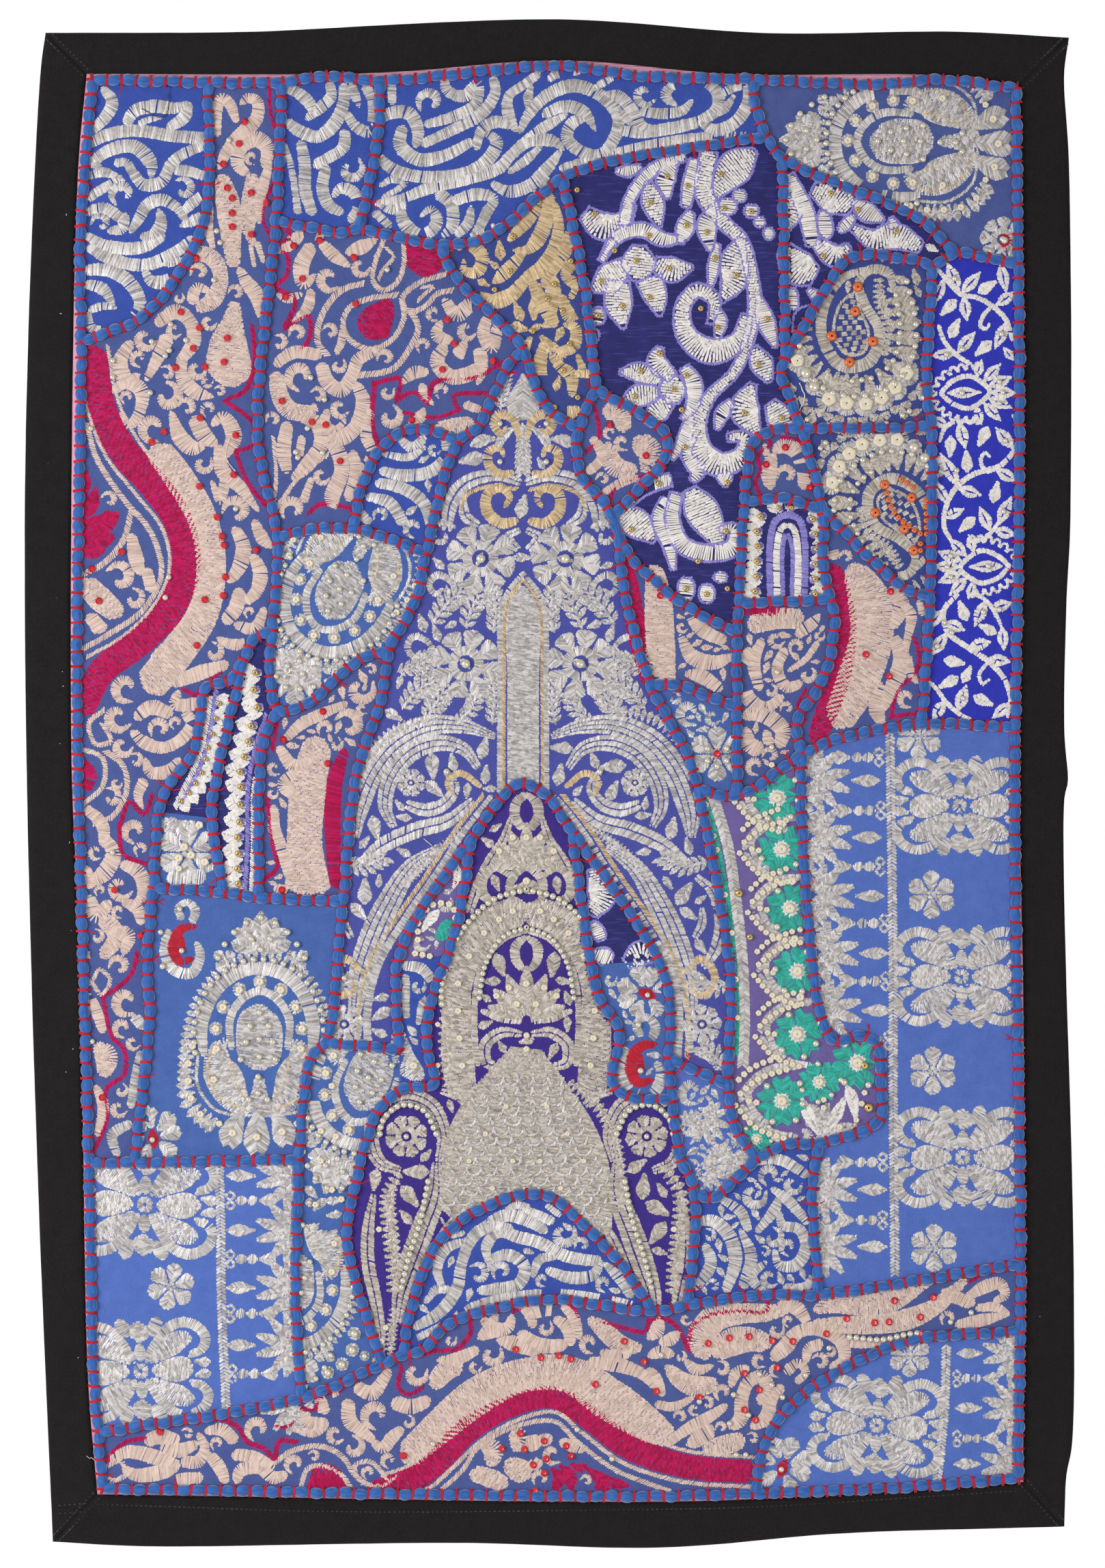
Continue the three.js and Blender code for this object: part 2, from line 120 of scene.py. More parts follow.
def mixed(material, kind, **sockets):
    """A node of one kind in a material, with its sockets set by name. What comes from another
    node is linked."""
    node = material.node_tree.nodes.new("ShaderNode" + kind)
    for name, value in sockets.items():
        fitted(material, node, name, value)
    return node


def fitted(material, node, socket, value):
    """Links a node's socket to another node's output, or sets it to a number or a colour."""
    if isinstance(value, bpy.types.NodeSocket):
        material.node_tree.links.new(value, node.inputs[socket])
    else:
        node.inputs[socket].default_value = value


def blended(material, amount, low, high):
    """A colour between two others, each given by numbers or by another node."""
    node = mixed(material, "Mix")
    node.data_type = "RGBA"
    fitted(material, node, 0, amount)
    for socket, colour in ((6, low), (7, high)):
        fitted(material, node, socket,
               colour if isinstance(colour, bpy.types.NodeSocket) else (*colour, 1))
    return node.outputs[2]


def base_material(name, rough, metal=0.0, sheen=0.0, specular=0.3):
    """A material, its shader and its object coordinates."""
    material = bpy.data.materials.new(name)
    material.use_nodes = True
    shader = material.node_tree.nodes["Principled BSDF"]
    shader.inputs["Roughness"].default_value = rough
    shader.inputs["Metallic"].default_value = metal
    shader.inputs["Sheen Weight"].default_value = sheen
    shader.inputs["Specular IOR Level"].default_value = specular
    return material, shader, mixed(material, "TexCoord").outputs["Object"]


def blotted(material, place, colours, scale, detail=2.0):
    """Colour that wanders between two tones in soft blots."""
    blots = mixed(material, "TexNoise", Vector=place, Scale=scale, Detail=detail)
    return blended(material, blots.outputs["Fac"], *colours)


def paper(name, colour):
    """A plain matt finish with a faint mottle."""
    material, shader, place = base_material(name, 0.9)
    fitted(material, shader, "Base Color",
           blotted(material, place, (colour, [c * 0.96 for c in colour]), 30.0))
    return material


view_and_light()
floor_corners = [(x * FLOOR_HALF, y * FLOOR_HALF, FLOOR_HEIGHT)
                 for x, y in ((-1, -1), (1, -1), (1, 1), (-1, 1))]
floor = surface_of("floor", floor_corners, [(0, 1, 2, 3)], [paper("floor", (0.86, 0.86, 0.85))])

# The drafting grid, and how the cloth hangs. The whole hanging is drafted on squares of 0.45 mm,
# counted right and down from a corner above its left edge, and bends slightly along lines.

COLUMN_LINES = 6 + 266.67 * np.arange(7)
COLUMN_LIFTS = [1.1, -0.3, 0.5, 0, 0.6, -0.4, 0.9]
ROW_LINES = -17.4 + 231.1 * np.arange(11)
ROW_LIFTS = [0, 0, 0.6, -0.2, 0.7, 1.5, 0.4, 0.9, -0.1, 0.5, 1.2]
CRINKLES = [(0.11, 0.05, 0.09), (-0.06, 0.13, 0.10), (0.03, -0.17, 0.07), (0.19, 0.08, 0.05),
            (0.024, 0.041, 0.16)]


def hang(x, y):
    """How many millimetres the cloth stands forward: straight lines between the lifts of the
    column lines plus the same for the row lines, and a fine crinkle of five slanting sines."""
    forward = np.interp(x, COLUMN_LINES, COLUMN_LIFTS) + np.interp(y, ROW_LINES, ROW_LIFTS)
    for across, down, depth in CRINKLES:
        forward = forward + depth * np.sin(across * x + down * y + 40 * across)
    return forward


def placed(x, y, forward):
    """Grid squares right and down and millimetres forward, as points in metres."""
    return np.stack([(x - MIDDLE) * SQUARE, -forward / 1000, (TOP - y) * SQUARE], -1)


def rows_of(text, parts=2):
    """The rows of a table, each split into its first words and the rest. A row goes on over the
    lines set in below it."""
    rows = text.strip().replace("\n  ", " ").split("\n")
    return [row.split(" ", parts - 1) for row in rows]


def strokes_of(text):
    """'right,down,width right,down|right,down' as one table of points for each stroke. A point
    is counted from the one before it. What else it has, such as a width, holds for the points
    after it until one has its own."""
    strokes, last = [], []
    for stroke in text.split("|"):
        points = []
        for point in stroke.split():
            numbers = point.split(",")
            last = numbers + last[len(numbers):]
            points.append(last)
        points = np.array(points, float)
        points[:, :2] = points[:, :2].cumsum(0)
        strokes.append(points)
    return strokes


def length_along(line):
    """The length of a line up to each of its points."""
    return np.append(0, np.cumsum(np.hypot(*np.diff(line[:, :2], axis=0).T)))


def drawn(knots, step):
    """A smooth line through its points, evenly stepped. Between two points it is a cubic whose
    end slopes come from the square roots of the spans on both sides, worked out in twentieths.
    A width that comes with each point is carried along."""
    knots = strokes_of(knots)[0] if isinstance(knots, str) else knots
    knots = np.vstack([2 * knots[0] - knots[1], knots, 2 * knots[-1] - knots[-2]])
    span = np.sqrt(np.hypot(*np.diff(knots[:, :2], axis=0).T))[:, None] + 1e-6
    slope = np.diff(knots, axis=0) / span
    bend = slope[:-1] - (knots[2:] - knots[:-2]) / (span[:-1] + span[1:]) + slope[1:]
    fine = np.arange(0, len(knots) - 3, 0.05)
    at = fine.astype(int)
    t = (fine - at)[:, None]
    a, b, width = knots[at + 1], knots[at + 2], span[at + 1]
    line = (a * (1 + 2 * t) * (1 - t) ** 2 + b * t * t * (3 - 2 * t)
            + width * (bend[at] * t * (1 - t) ** 2 + bend[at + 1] * t * t * (t - 1)))
    line = np.vstack([line, knots[-2]])
    far = length_along(line)
    even = np.linspace(0, far[-1], max(2, int(round(far[-1] / step)) + 1))
    return np.stack([np.interp(even, far, column) for column in line.T], -1)


def axes_of(line):
    """The unit sideways and lengthwise directions at each point of a line."""
    along = np.gradient(line[:, :2], axis=0)
    along /= np.hypot(*along.T)[:, None] + 1e-9
    side = np.stack([along[:, 1], -along[:, 0]], -1)
    return side, np.stack([-side[:, 1], side[:, 0]], -1)


def grid_faces(rows, columns, close_columns=False):
    """The four corners of each cell of a grid of points, row by row."""
    r, c = [v.ravel() for v in np.meshgrid(
        np.arange(rows - 1), np.arange(columns if close_columns else columns - 1), indexing="ij")]
    right = (c + 1) % columns
    return np.stack([r * columns + c, r * columns + right, (r + 1) * columns + right,
                     (r + 1) * columns + c], -1)


FRAME_BRAID = dict(rows_of("""
top 135,116 169,4 109,0 66,-9 78,7 262,-22 118,15 167,5 184,7 89,-7 111,13
right 1488,129 5,527 -7,500 9,695 -5,314
bottom 1490,2165 -164,13 -222,9 -191,4 -763,-11
left 150,2180 -6,-82 -7,-82 -7,-313 -17,-694 6,-509 -2,-140 18,-244
"""))
SEAMS = dict(rows_of("""
corner_sweep 304,120 2,138 -9,71 -40,78 -51,58 -87,35
left_column 413,120 -9,203 -27,317 29,149 -7,134
left_column_foot 399,923 -29,15 -13,27 -20,31 -33,9 -20,95 -45,65 -15,135 -9,114 4,66 -22,223
leaf_strip_divider 357,965 -44,195 -3,40 18,107
leaf_strip_right 408,1040 -20,36 -9,80 0,158
paisley_field_top 224,1300 104,7 51,7 123,6
scroll_divider 557,118 -4,82 -27,136
scroll_bottom 404,323 95,17 27,-4 120,22 67,-11 111,-87 62,-22 236,-38
scroll_end 1104,116 2,40 16,44
corner_paisley_slope 1122,200 24,31 200,89 53,51
corner_paisley_foot 1490,387 -91,-16 -33,18
white_sprig_side 1146,231 4,294
white_sprig_arch 1366,389 -40,-11 -80,-2 -24,27 -72,122
vine_side 1366,389 -9,178 7,58 -2,246 -12,189
bead_field_divider 1173,627 191,-2
peach_slope 1204,745 95,95 36,27 27,4
bead_field_side 1150,525 -6,20 29,82 31,118 2,91 11,42 5,42 -18,76 -34,53 -4,27 9,27
peach_leaf_side 1173,627 -47,4 -24,20 -12,85 -8,147 -3,44 0,109 0,129
peach_leaf_foot 1090,736 49,-7 65,16
leaf_arch_foot 1082,883 135,-5
vine_foot 1175,1103 47,-20 128,-23 136,5
gold_side 824,260 31,154 18,155
gold_slope 646,358 16,40 104,113 16,49 26,43 40,24
heart_slope 873,569 100,65 2,33 -78,89
navy_foot 897,756 22,53 80,74 80,44
yoke_right 873,569 -25,58 0,62 49,67 18,113 38,134 55,106 14,47 48,278 -4,155 13,67 29,40
rosette_top 953,1003 37,0 89,33
teal_top 1022,1156 57,9 96,-62
fan_scrap_foot 1017,1747 25,7 66,-58
teal_side 1175,1103 -2,77 33,320 20,25 36,-9 22,13 6,71 -2,40 -89,34 -49,2 -42,20
scroll_scrap_side 1199,1674 -9,66 9,156
yoke_left 766,511 -22,25 -47,91 -27,20 -46,162 -16,71 -38,71 -11,69 -37,116 -20,184 -25,207 -20,18
  -20,153
small_scroll_top 670,647 -40,-18 -46,5 -31,29 -23,48 -13,63
bead_paisley_top 406,789 33,-11 78,-4 107,35
bead_paisley_foot 570,951 -48,18 -74,62 -40,9 -13,-55 4,-62
wing_left_foot 477,1527 107,9
arch 584,1536 -2,-127 26,-62 82,-118 56,-73 22,-9 27,13 42,56 131,198 14,66 -3,69
panel_left 690,1229 -22,131 -40,120 -2,60 11,45 -49,11 -33,29 -38,124 -9,67 51,182
panel_right 837,1216 42,249 27,40 -7,86 27,16 58,4
panel_right_foot 979,1549 5,62 11,80 22,56 -9,164
wing_right_foot 979,1549 87,40
arch_scroll_hood 590,1985 9,-58 40,-104 58,-49 71,-25 40,5 58,51 47,51 42,64
border_scrap_top 130,1703 67,0 240,-5
border_scrap_side 437,1698 -4,216 9,133
bottom_wave 144,2098 298,-51 117,-49 31,-13 32,-11 33,-34 78,-26 75,-11 147,17 53,-9 111,-15 80,0
  296,-45
corner_scrap_sweep 1495,1949 -176,18 -149,80 -46,58 -20,82
"""))
PLAIN_CUTS = dict(rows_of("""
leaf_and_silver 233,1189 77,9
teal_and_scroll 582,1409 73,-11
paisley_and_half_paisley 435,1785 73,22
navy_and_rosette 866,1414 98,-9
scroll_and_paisley 584,1536 4,60
"""))

# The ground cloth of thin pink cotton. It shows only as slivers between the framing braid and
# the border, and from behind, where it is the whole back of the patchwork.

BORDER_INNER = dict(rows_of("""
top 126,107 433,-2 260,-18 251,20 307,2 116,16
right 1493,125 6,340 -6,691 6,309 0,706
bottom 1499,2171 -395,25 -191,4 -771,-11
left 142,2189 -14,-173 -11,-602 -13,-314 9,-842 13,-151
"""))
BORDER_OUTER = dict(rows_of("""
top 66,47 296,-2 457,-18 300,20 283,-2 164,9
right 1566,54 -7,55 7,131 2,520 -6,127 -3,187 5,71 -5,24 14,691 -3,258 -8,42 -3,76
bottom 1559,2236 -337,11 -258,20 -294,-7 -464,5 -129,-7
left 77,2258 -20,-469 -18,-649 -2,-500 22,-540 7,-53
"""))
GROUND_ROWS = 140
GROUND_COLUMNS = 90
GROUND_FRONT = 0.9
GROUND_BACK = 0.1


def woven(name, dark, light, thread=0.0006, sheen=0.1, rough=0.8, depth=0.35, slub=False,
          crumple=0.22, specular=0.2):
    """Plain weave: two crossed waves of threads as bump, and blots between two tones. A slubbed
    cloth also has level dashes of the light tone."""
    material, shader, place = base_material(name, rough, sheen=sheen, specular=specular)
    stretch = mixed(material, "Mapping", Vector=place,
                    Scale=(75, 75, 800) if slub else (700, 700, 700))
    colour = blotted(material, place, (dark, light), 130.0, 4.0)
    dashes = mixed(material, "TexNoise", Scale=1.0, Detail=2.0, Vector=stretch.outputs[0])
    gain, offset = (4.0, -2.25) if slub else (0.35, 0)
    amount = reckoned(material, "MULTIPLY_ADD", dashes.outputs["Fac"], gain, offset, clamp=True)
    bright = [min(1, c * 1.5 + 0.02) for c in light]
    fitted(material, shader, "Base Color", blended(material, amount, colour, bright))
    weft = mixed(material, "TexWave", Scale=0.157 / thread, Vector=place)
    weft.bands_direction = "Z"
    warp = mixed(material, "TexWave", Scale=0.157 / thread, Vector=place)
    weave = reckoned(material, "ADD", weft.outputs["Fac"], warp.outputs["Fac"])
    bump = mixed(material, "Bump", Strength=depth, Distance=0.0002, Height=weave)
    creases = mixed(material, "TexNoise", Scale=95.0, Detail=3.0, Distortion=0.6, Vector=place)
    crush = mixed(material, "Bump", Strength=crumple, Distance=0.003,
                  Height=creases.outputs["Fac"], Normal=bump.outputs[0])
    fitted(material, shader, "Normal", crush.outputs[0])
    return material


def reckoned(material, operation, *values, clamp=False):
    """The result of a sum, a product or a sine of numbers and other nodes' outputs."""
    node = mixed(material, "Math")
    node.operation = operation
    node.use_clamp = clamp
    for socket, value in enumerate(values):
        fitted(material, node, socket, value)
    return node.outputs[0]


def side_by_side(inner, outer, step):
    """The same number of points along a side's inner and outer edge."""
    edge = drawn(inner, step)
    rim = drawn(outer, 3.0)
    far = length_along(rim)
    even = np.linspace(0, far[-1], len(edge))
    return edge, np.stack([np.interp(even, far, rim[:, k]) for k in (0, 1)], -1)


def ground_cloth():
    """Rows between the left and right inner edge of the border, from top to bottom, squeezed at
    the ends to its curved top and bottom edges."""
    sides = {name: drawn(text, 3.0) for name, text in BORDER_INNER.items()}
    share = np.linspace(0, 1, GROUND_COLUMNS)
    down = np.linspace(0, 1, GROUND_ROWS)[:, None]
    top = np.interp(share, np.linspace(0, 1, len(sides["top"])), sides["top"][:, 1])
    foot = np.interp(share, np.linspace(0, 1, len(sides["bottom"])), sides["bottom"][::-1, 1])
    y = top * (1 - down) + foot * down
    left = np.interp(y, sides["left"][::-1, 1], sides["left"][::-1, 0])
    right = np.interp(y, sides["right"][:, 1], sides["right"][:, 0])
    x = left * (1 - share) + right * share
    y = np.clip(y, top + 0.1, foot - 0.1)
    return closed_sheet("ground", placed(x, y, hang(x, y) + GROUND_FRONT),
                        placed(x, y, hang(x, y) + GROUND_BACK), pink_cotton)


def closed_sheet(name, front, back, material):
    """A front and a back grid of points joined round their rim."""
    rows, columns = front.shape[:2]
    faces = grid_faces(rows, columns)
    number = np.arange(rows * columns).reshape(rows, columns)
    rim = np.concatenate([number[0], number[1:, -1], number[-1, -2::-1], number[-2:0:-1, 0]])
    shift = rows * columns
    after = np.roll(rim, -1)
    wall = np.stack([rim, after, after + shift, rim + shift], -1)
    both = np.concatenate([faces[:, ::-1], faces + shift, wall])
    return surface_of(name, np.concatenate([front.reshape(-1, 3), back.reshape(-1, 3)]), both,
                      [material])


pink_cotton = woven("pink_cotton", (0.52, 0.20, 0.32), (0.70, 0.33, 0.46), 0.0007)
ground = ground_cloth()
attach(ground, "root")
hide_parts("ground_cloth")

# The border: four strips of black cotton folded over at the outer edge and mitred at the
# corners, with the mitres topstitched in black.

BORDER_MIDDLE = 0.5
BORDER_HALF = 1.3
SEAM_SHARE = 0.004
black_cotton = woven("black_cotton", (0.0045, 0.0036, 0.0042), (0.011, 0.009, 0.010), 0.0005,
                     sheen=0.03, rough=0.95, depth=0.5, crumple=0.12, specular=0.12)


def border_strip(name, side):
    """Across the strip runs a flat loop: front face, round outer fold, back face. The loop is
    carried from mitre to mitre, with a ripple of two sines that fades towards the seam."""
    edge, rim = side_by_side(BORDER_INNER[side], BORDER_OUTER[side], 9.0)
    share = np.concatenate([np.linspace(0, 1, 12), np.linspace(1, 0, 12)])
    share = SEAM_SHARE + (1 - SEAM_SHARE) * share
    turn = np.concatenate([np.full(10, 1.0), [0.85, 0.4], [-0.4, -0.85], np.full(10, -1.0)])
    turn[0], turn[-1] = 0.55, -0.55
    x = edge[:, :1] * (1 - share) + rim[:, :1] * share
    y = edge[:, 1:] * (1 - share) + rim[:, 1:] * share
    length = np.arange(len(edge))[:, None]
    ripple = 0.35 * np.sin(0.19 * length + 5 * share) * share * np.sin(0.031 * length)
    points = placed(x, y, hang(x, y) + (BORDER_MIDDLE + BORDER_HALF * turn) + ripple)
    faces = grid_faces(len(edge), len(share), close_columns=True).tolist()
    last = (len(edge) - 1) * len(share)
    ends = [list(range(len(share)))[::-1], list(range(last, last + len(share)))]
    strip = surface_of(name, points, faces + ends, [black_cotton])
    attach(strip, "root")
    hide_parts(f"border_{side}")
    length = float(np.hypot(*np.diff(rim, axis=0).T).sum()) * SQUARE


for side in BORDER_INNER:
    border_strip(f"border_{side}_strip", side)

# The patches: scraps of blue, navy and violet cloth, cut along their seams. Each one is a sheet
# that rises softly inside its seams and is drawn down at its edges by the stitching.

PITCH = 9
EDGE_REACH = 1.2 * PITCH
CLOTH_REST = 1.75


def corners_of(node):
    """The front faces of a CAD node as corners in grid squares."""
    mesh = frame["nodes"][node].data
    co = np.zeros(len(mesh.vertices) * 3)
    mesh.vertices.foreach_get("co", co)
    mesh.calc_loop_triangles()
    corners = np.zeros(len(mesh.loop_triangles) * 3, int)
    mesh.loop_triangles.foreach_get("vertices", corners)
    triangles = co.reshape(-1, 3)[corners.reshape(-1, 3)]
    flat = np.stack([triangles[..., 0] / SQUARE + MIDDLE, TOP - triangles[..., 2] / SQUARE], -1)
    b, c = flat[:, 1] - flat[:, 0], flat[:, 2] - flat[:, 0]
    return flat[b[:, 0] * c[:, 1] - b[:, 1] * c[:, 0] < -0.5]


def covered(corners, points):
    """Which points lie on any triangle: those that are on the same side of all three edges."""
    inside = np.zeros(len(points), bool)
    for a, b, c in corners:
        low, high = np.minimum(np.minimum(a, b), c), np.maximum(np.maximum(a, b), c)
        near = np.flatnonzero(~inside & (points >= low).all(1) & (points <= high).all(1))
        p = points[near]
        side = [(q[0] - o[0]) * (p[:, 1] - o[1]) - (q[1] - o[1]) * (p[:, 0] - o[0])
                for o, q in ((a, b), (b, c), (c, a))]
        inside[near] = (np.max(side, 0) <= 0) | (np.min(side, 0) >= 0)
    return inside


seam_points = np.vstack([drawn(text, 3.0) for text in
                         [*FRAME_BRAID.values(), *SEAMS.values(), *PLAIN_CUTS.values()]])


def to_seam(points):
    """Distance to the nearest seam, and the place on it."""
    low, high = points.min(0) - 60, points.max(0) + 60
    near = seam_points[((seam_points > low) & (seam_points < high)).all(1)]
    apart = np.hypot(points[:, None, 0] - near[:, 0], points[:, None, 1] - near[:, 1])
    return apart.min(1), near[apart.argmin(1)]


def swell(points, distance):
    """Millimetres forward: a soft rise of 1 mm from the seams, and gathers of 0.28 mm that fade
    away from them."""
    x, y = points.T
    rise = 1.0 * (1 - np.exp(-distance / 22))
    gather = 0.28 * np.exp(-distance / 20) * np.sin(0.36 * x + 0.9 * np.sin(0.05 * y))
    gather *= np.sin(0.33 * y + 1.1 * np.sin(0.06 * x))
    return hang(x, y) + CLOTH_REST + rise + gather


grid_x, grid_y = np.arange(99, 1530, PITCH), np.arange(72, 2220, PITCH)
cloth_height = np.zeros((len(grid_y), len(grid_x)))
owner = np.full(cloth_height.shape, -1)
patch_names = []


def lying(x, y):
    """The cloth's height at any place, from the four grid points round it."""
    u = np.clip((x - grid_x[0]) / PITCH, 0, len(grid_x) - 1.001)
    v = np.clip((y - grid_y[0]) / PITCH, 0, len(grid_y) - 1.001)
    i, j = v.astype(int), u.astype(int)
    u, v = u - j, v - i
    top = cloth_height[i, j] * (1 - u) + cloth_height[i, j + 1] * u
    low = cloth_height[i + 1, j] * (1 - u) + cloth_height[i + 1, j + 1] * u
    return top * (1 - v) + low * v


def patch(node, material):
    """Grid cells whose middles the patch covers, with the outer ones drawn onto the seam."""
    corners = corners_of(node)
    low, high = corners.min((0, 1)) - PITCH, corners.max((0, 1)) + PITCH
    columns = np.flatnonzero((grid_x > low[0]) & (grid_x < high[0]))
    rows = np.flatnonzero((grid_y > low[1]) & (grid_y < high[1]))
    x, y = np.meshgrid(grid_x[columns], grid_y[rows])
    nodes = np.stack([x, y], -1)
    middles = (nodes[:-1, :-1] + PITCH / 2).reshape(-1, 2)
    own = covered(corners, middles).reshape(len(rows) - 1, len(columns) - 1)
    distance, place = to_seam(nodes.reshape(-1, 2))
    distance, place = distance.reshape(x.shape), place.reshape(nodes.shape)
    padded = np.pad(own, 1)
    touching = padded[:-1, :-1] + 0 + padded[1:, :-1] + padded[:-1, 1:] + padded[1:, 1:]
    edge = (touching > 0) & (touching < 4) & (distance < EDGE_REACH)
    nodes = np.where(edge[..., None], place, nodes)
    distance = np.where(edge, 0, distance)
    height = swell(nodes.reshape(-1, 2), distance.ravel()).reshape(x.shape)
    block = cloth_height[rows[0]:rows[-1] + 1, columns[0]:columns[-1] + 1]
    block[touching > 0] = height[touching > 0]
    owner[rows[0]:rows[-1], columns[0]:columns[-1]][own] = len(patch_names)
    patch_names.append(node[len("patch_"):])
    used, faces = np.unique(grid_faces(*x.shape)[own.ravel()][:, ::-1], return_inverse=True)
    points = placed(nodes[..., 0], nodes[..., 1], height).reshape(-1, 3)[used]
    piece = surface_of(node.replace("patch_", "cloth_"), points, faces.reshape(-1, 4), [material])
    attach(piece, "root")
    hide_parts(node)


CLOTHS = {
    "royal_blue": woven("royal_blue", (0.017, 0.039, 0.235), (0.034, 0.072, 0.34)),
    "sari_blue": woven("sari_blue", (0.034, 0.051, 0.187), (0.060, 0.090, 0.267)),
    "vivid_blue": woven("vivid_blue", (0.008, 0.012, 0.26), (0.018, 0.026, 0.42), rough=0.6),
    "navy": woven("navy", (0.009, 0.008, 0.075), (0.024, 0.024, 0.17), slub=True, rough=0.6),
    "violet_blue": woven("violet_blue", (0.030, 0.037, 0.215), (0.056, 0.066, 0.31), rough=0.6),
    "deep_violet": woven("deep_violet", (0.016, 0.007, 0.12), (0.036, 0.014, 0.21), rough=0.6),
    "mid_blue": woven("mid_blue", (0.032, 0.070, 0.25), (0.056, 0.12, 0.36)),
    "cornflower": woven("cornflower", (0.044, 0.089, 0.32), (0.075, 0.14, 0.45)),
    "deep_blue": woven("deep_blue", (0.021, 0.034, 0.155), (0.036, 0.056, 0.23)),
    "grey_violet": woven("grey_violet", (0.082, 0.06, 0.20), (0.14, 0.105, 0.30)),
}
DEEPER = {"bead_sprays": "deep_blue", "bead_sprays_low": "deep_blue", "gold_leaves": "deep_blue",
          "corner_paisley": "sari_blue", "white_sprig": "navy"}
for row in frame["record"]["subparts"]:
    node, slot = row["node"], row["material_slot"]
    if node.startswith("patch_"):
        patch(node, CLOTHS[DEEPER.get(node[len("patch_"):], slot)])

# The roving: blue cotton strands laid over every seam and caught down with red thread, so that
# it swells in a puff between each two stitches.

PUFF = 21.5
AROUND = 8
RINGS = 9
NECK_HALF, NECK_RISE = 4.3, 0.95
PUFF_HALF, PUFF_RISE = 4.0, 1.75
ROVING_MIDDLE = 3.35
CATCH_REACH = 9.4
CATCH_SLANT = 2.2
catches = []


def fibrous(name, dark, light, strand, rough=0.85, depth=0.6):
    """Strands along the piece's own length: a wave across it, bent by noise, as bump and tone."""
    material, shader, place = base_material(name, rough, sheen=0.5)
    colour = blotted(material, place, (dark, light), 260.0, 3.0)
    stretch = mixed(material, "Mapping", Scale=(0.9, strand, 1),
                    Vector=mixed(material, "UVMap").outputs[0])
    lines = mixed(material, "TexNoise", Scale=1.0, Detail=3.0, Vector=stretch.outputs[0])
    fade = reckoned(material, "MULTIPLY_ADD", lines.outputs["Fac"], 2.2, -0.95, clamp=True)
    fitted(material, shader, "Base Color",
           blended(material, fade, colour, [c * 0.35 for c in dark]))
    bump = mixed(material, "Bump", Strength=depth, Distance=0.0006, Height=lines.outputs["Fac"])
    fitted(material, shader, "Normal", bump.outputs[0])
    return material


def with_uv(piece, uv):
    """Gives each corner of a piece the two numbers of its point."""
    layer = piece.data.uv_layers.new(name="along")
    corners = np.zeros(len(piece.data.loops), int)
    piece.data.loops.foreach_get("vertex_index", corners)
    layer.data.foreach_set("uv", np.asarray(uv)[corners].ravel().astype(float))


def roving(text):
    """A flattened tube along a seam. In each puff its half width and height follow a half sine
    raised to 0.75, over a narrow neck where the thread crosses it."""
    line = drawn(text, 3.0)
    length = np.hypot(*np.diff(line, axis=0).T).sum()
    puffs = max(1, int(round(length / PUFF)))
    line = drawn(text, length / (puffs * RINGS))
    rings = len(line)
    part = np.arange(rings) / RINGS
    catch = np.cumsum(chance.uniform(0.85, 1.15, puffs + 1))
    size = np.interp(part, np.arange(puffs + 1), chance.uniform(0.88, 1.14, puffs + 1))
    full = np.abs(np.sin(np.pi * part)) ** 0.75 * size
    side, along = axes_of(line)
    wander = 0.9 * np.sin(0.9 * part * 2.3 + catch[0] * 9)
    half = NECK_HALF + PUFF_HALF * full
    rise = NECK_RISE + PUFF_RISE * full
    angle = np.linspace(0, 2 * np.pi, AROUND, endpoint=False)
    lobes = 1 + 0.07 * np.cos(3 * angle + 2.4 * part[:, None])
    out = np.cos(angle) * half[:, None] * lobes + wander[:, None]
    x = line[:, :1] + side[:, :1] * out
    y = line[:, 1:] + side[:, 1:] * out
    forward = hang(x, y) + ROVING_MIDDLE + np.sin(angle) * rise[:, None] * lobes
    uv = np.stack(np.broadcast_arrays(part[:, None], angle / (2 * np.pi)), -1)
    stops = np.arange(0, puffs + 1) * RINGS
    reach = side[stops] * CATCH_REACH
    slant = -along[stops] * chance.uniform(-CATCH_SLANT, CATCH_SLANT, (len(stops), 1))
    catches.append(np.concatenate([line[stops] + reach + slant, line[stops] - reach - slant], 1))
    return placed(x, y, forward).reshape(-1, 3), uv.reshape(-1, 2), rings


def braid(name, node, routes):
    """All the rovings of one CAD node in one mesh, their ends closed."""
    points, uvs, faces, count = [], [], [], 0
    for text in routes:
        own, uv, rings = roving(text)
        faces += (grid_faces(rings, AROUND, close_columns=True) + count).tolist()
        faces.append(list(range(count, count + AROUND))[::-1])
        faces.append(list(range(count + (rings - 1) * AROUND, count + rings * AROUND)))
        points.append(own)
        uvs.append(uv)
        count += len(own)
    piece = surface_of(name, np.vstack(points), faces, [roving_blue])
    with_uv(piece, np.vstack(uvs))
    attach(piece, "root")
    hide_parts(node)


roving_blue = fibrous("roving_blue", (0.012, 0.068, 0.30), (0.038, 0.17, 0.54), 16)
BRAIDS = dict(rows_of("""
left left_column left_column_foot leaf_strip_divider leaf_strip_right paisley_field_top
top scroll_divider scroll_bottom scroll_end corner_paisley_slope
right corner_paisley_foot white_sprig_side white_sprig_arch vine_side bead_field_divider
  peach_slope
middle bead_field_side peach_leaf_side peach_leaf_foot leaf_arch_foot vine_foot
navy gold_side heart_slope navy_foot
yoke_left gold_slope yoke_left small_scroll_top bead_paisley_top bead_paisley_foot wing_left_foot
yoke_right yoke_right rosette_top teal_top fan_scrap_foot
lower_right teal_side scroll_scrap_side
arch arch panel_left panel_right panel_right_foot wing_right_foot
bottom arch_scroll_hood border_scrap_top border_scrap_side bottom_wave
"""))
braid("roving_frame", "frame_braid",
      [*FRAME_BRAID.values(), SEAMS["corner_sweep"], SEAMS["corner_scrap_sweep"]])
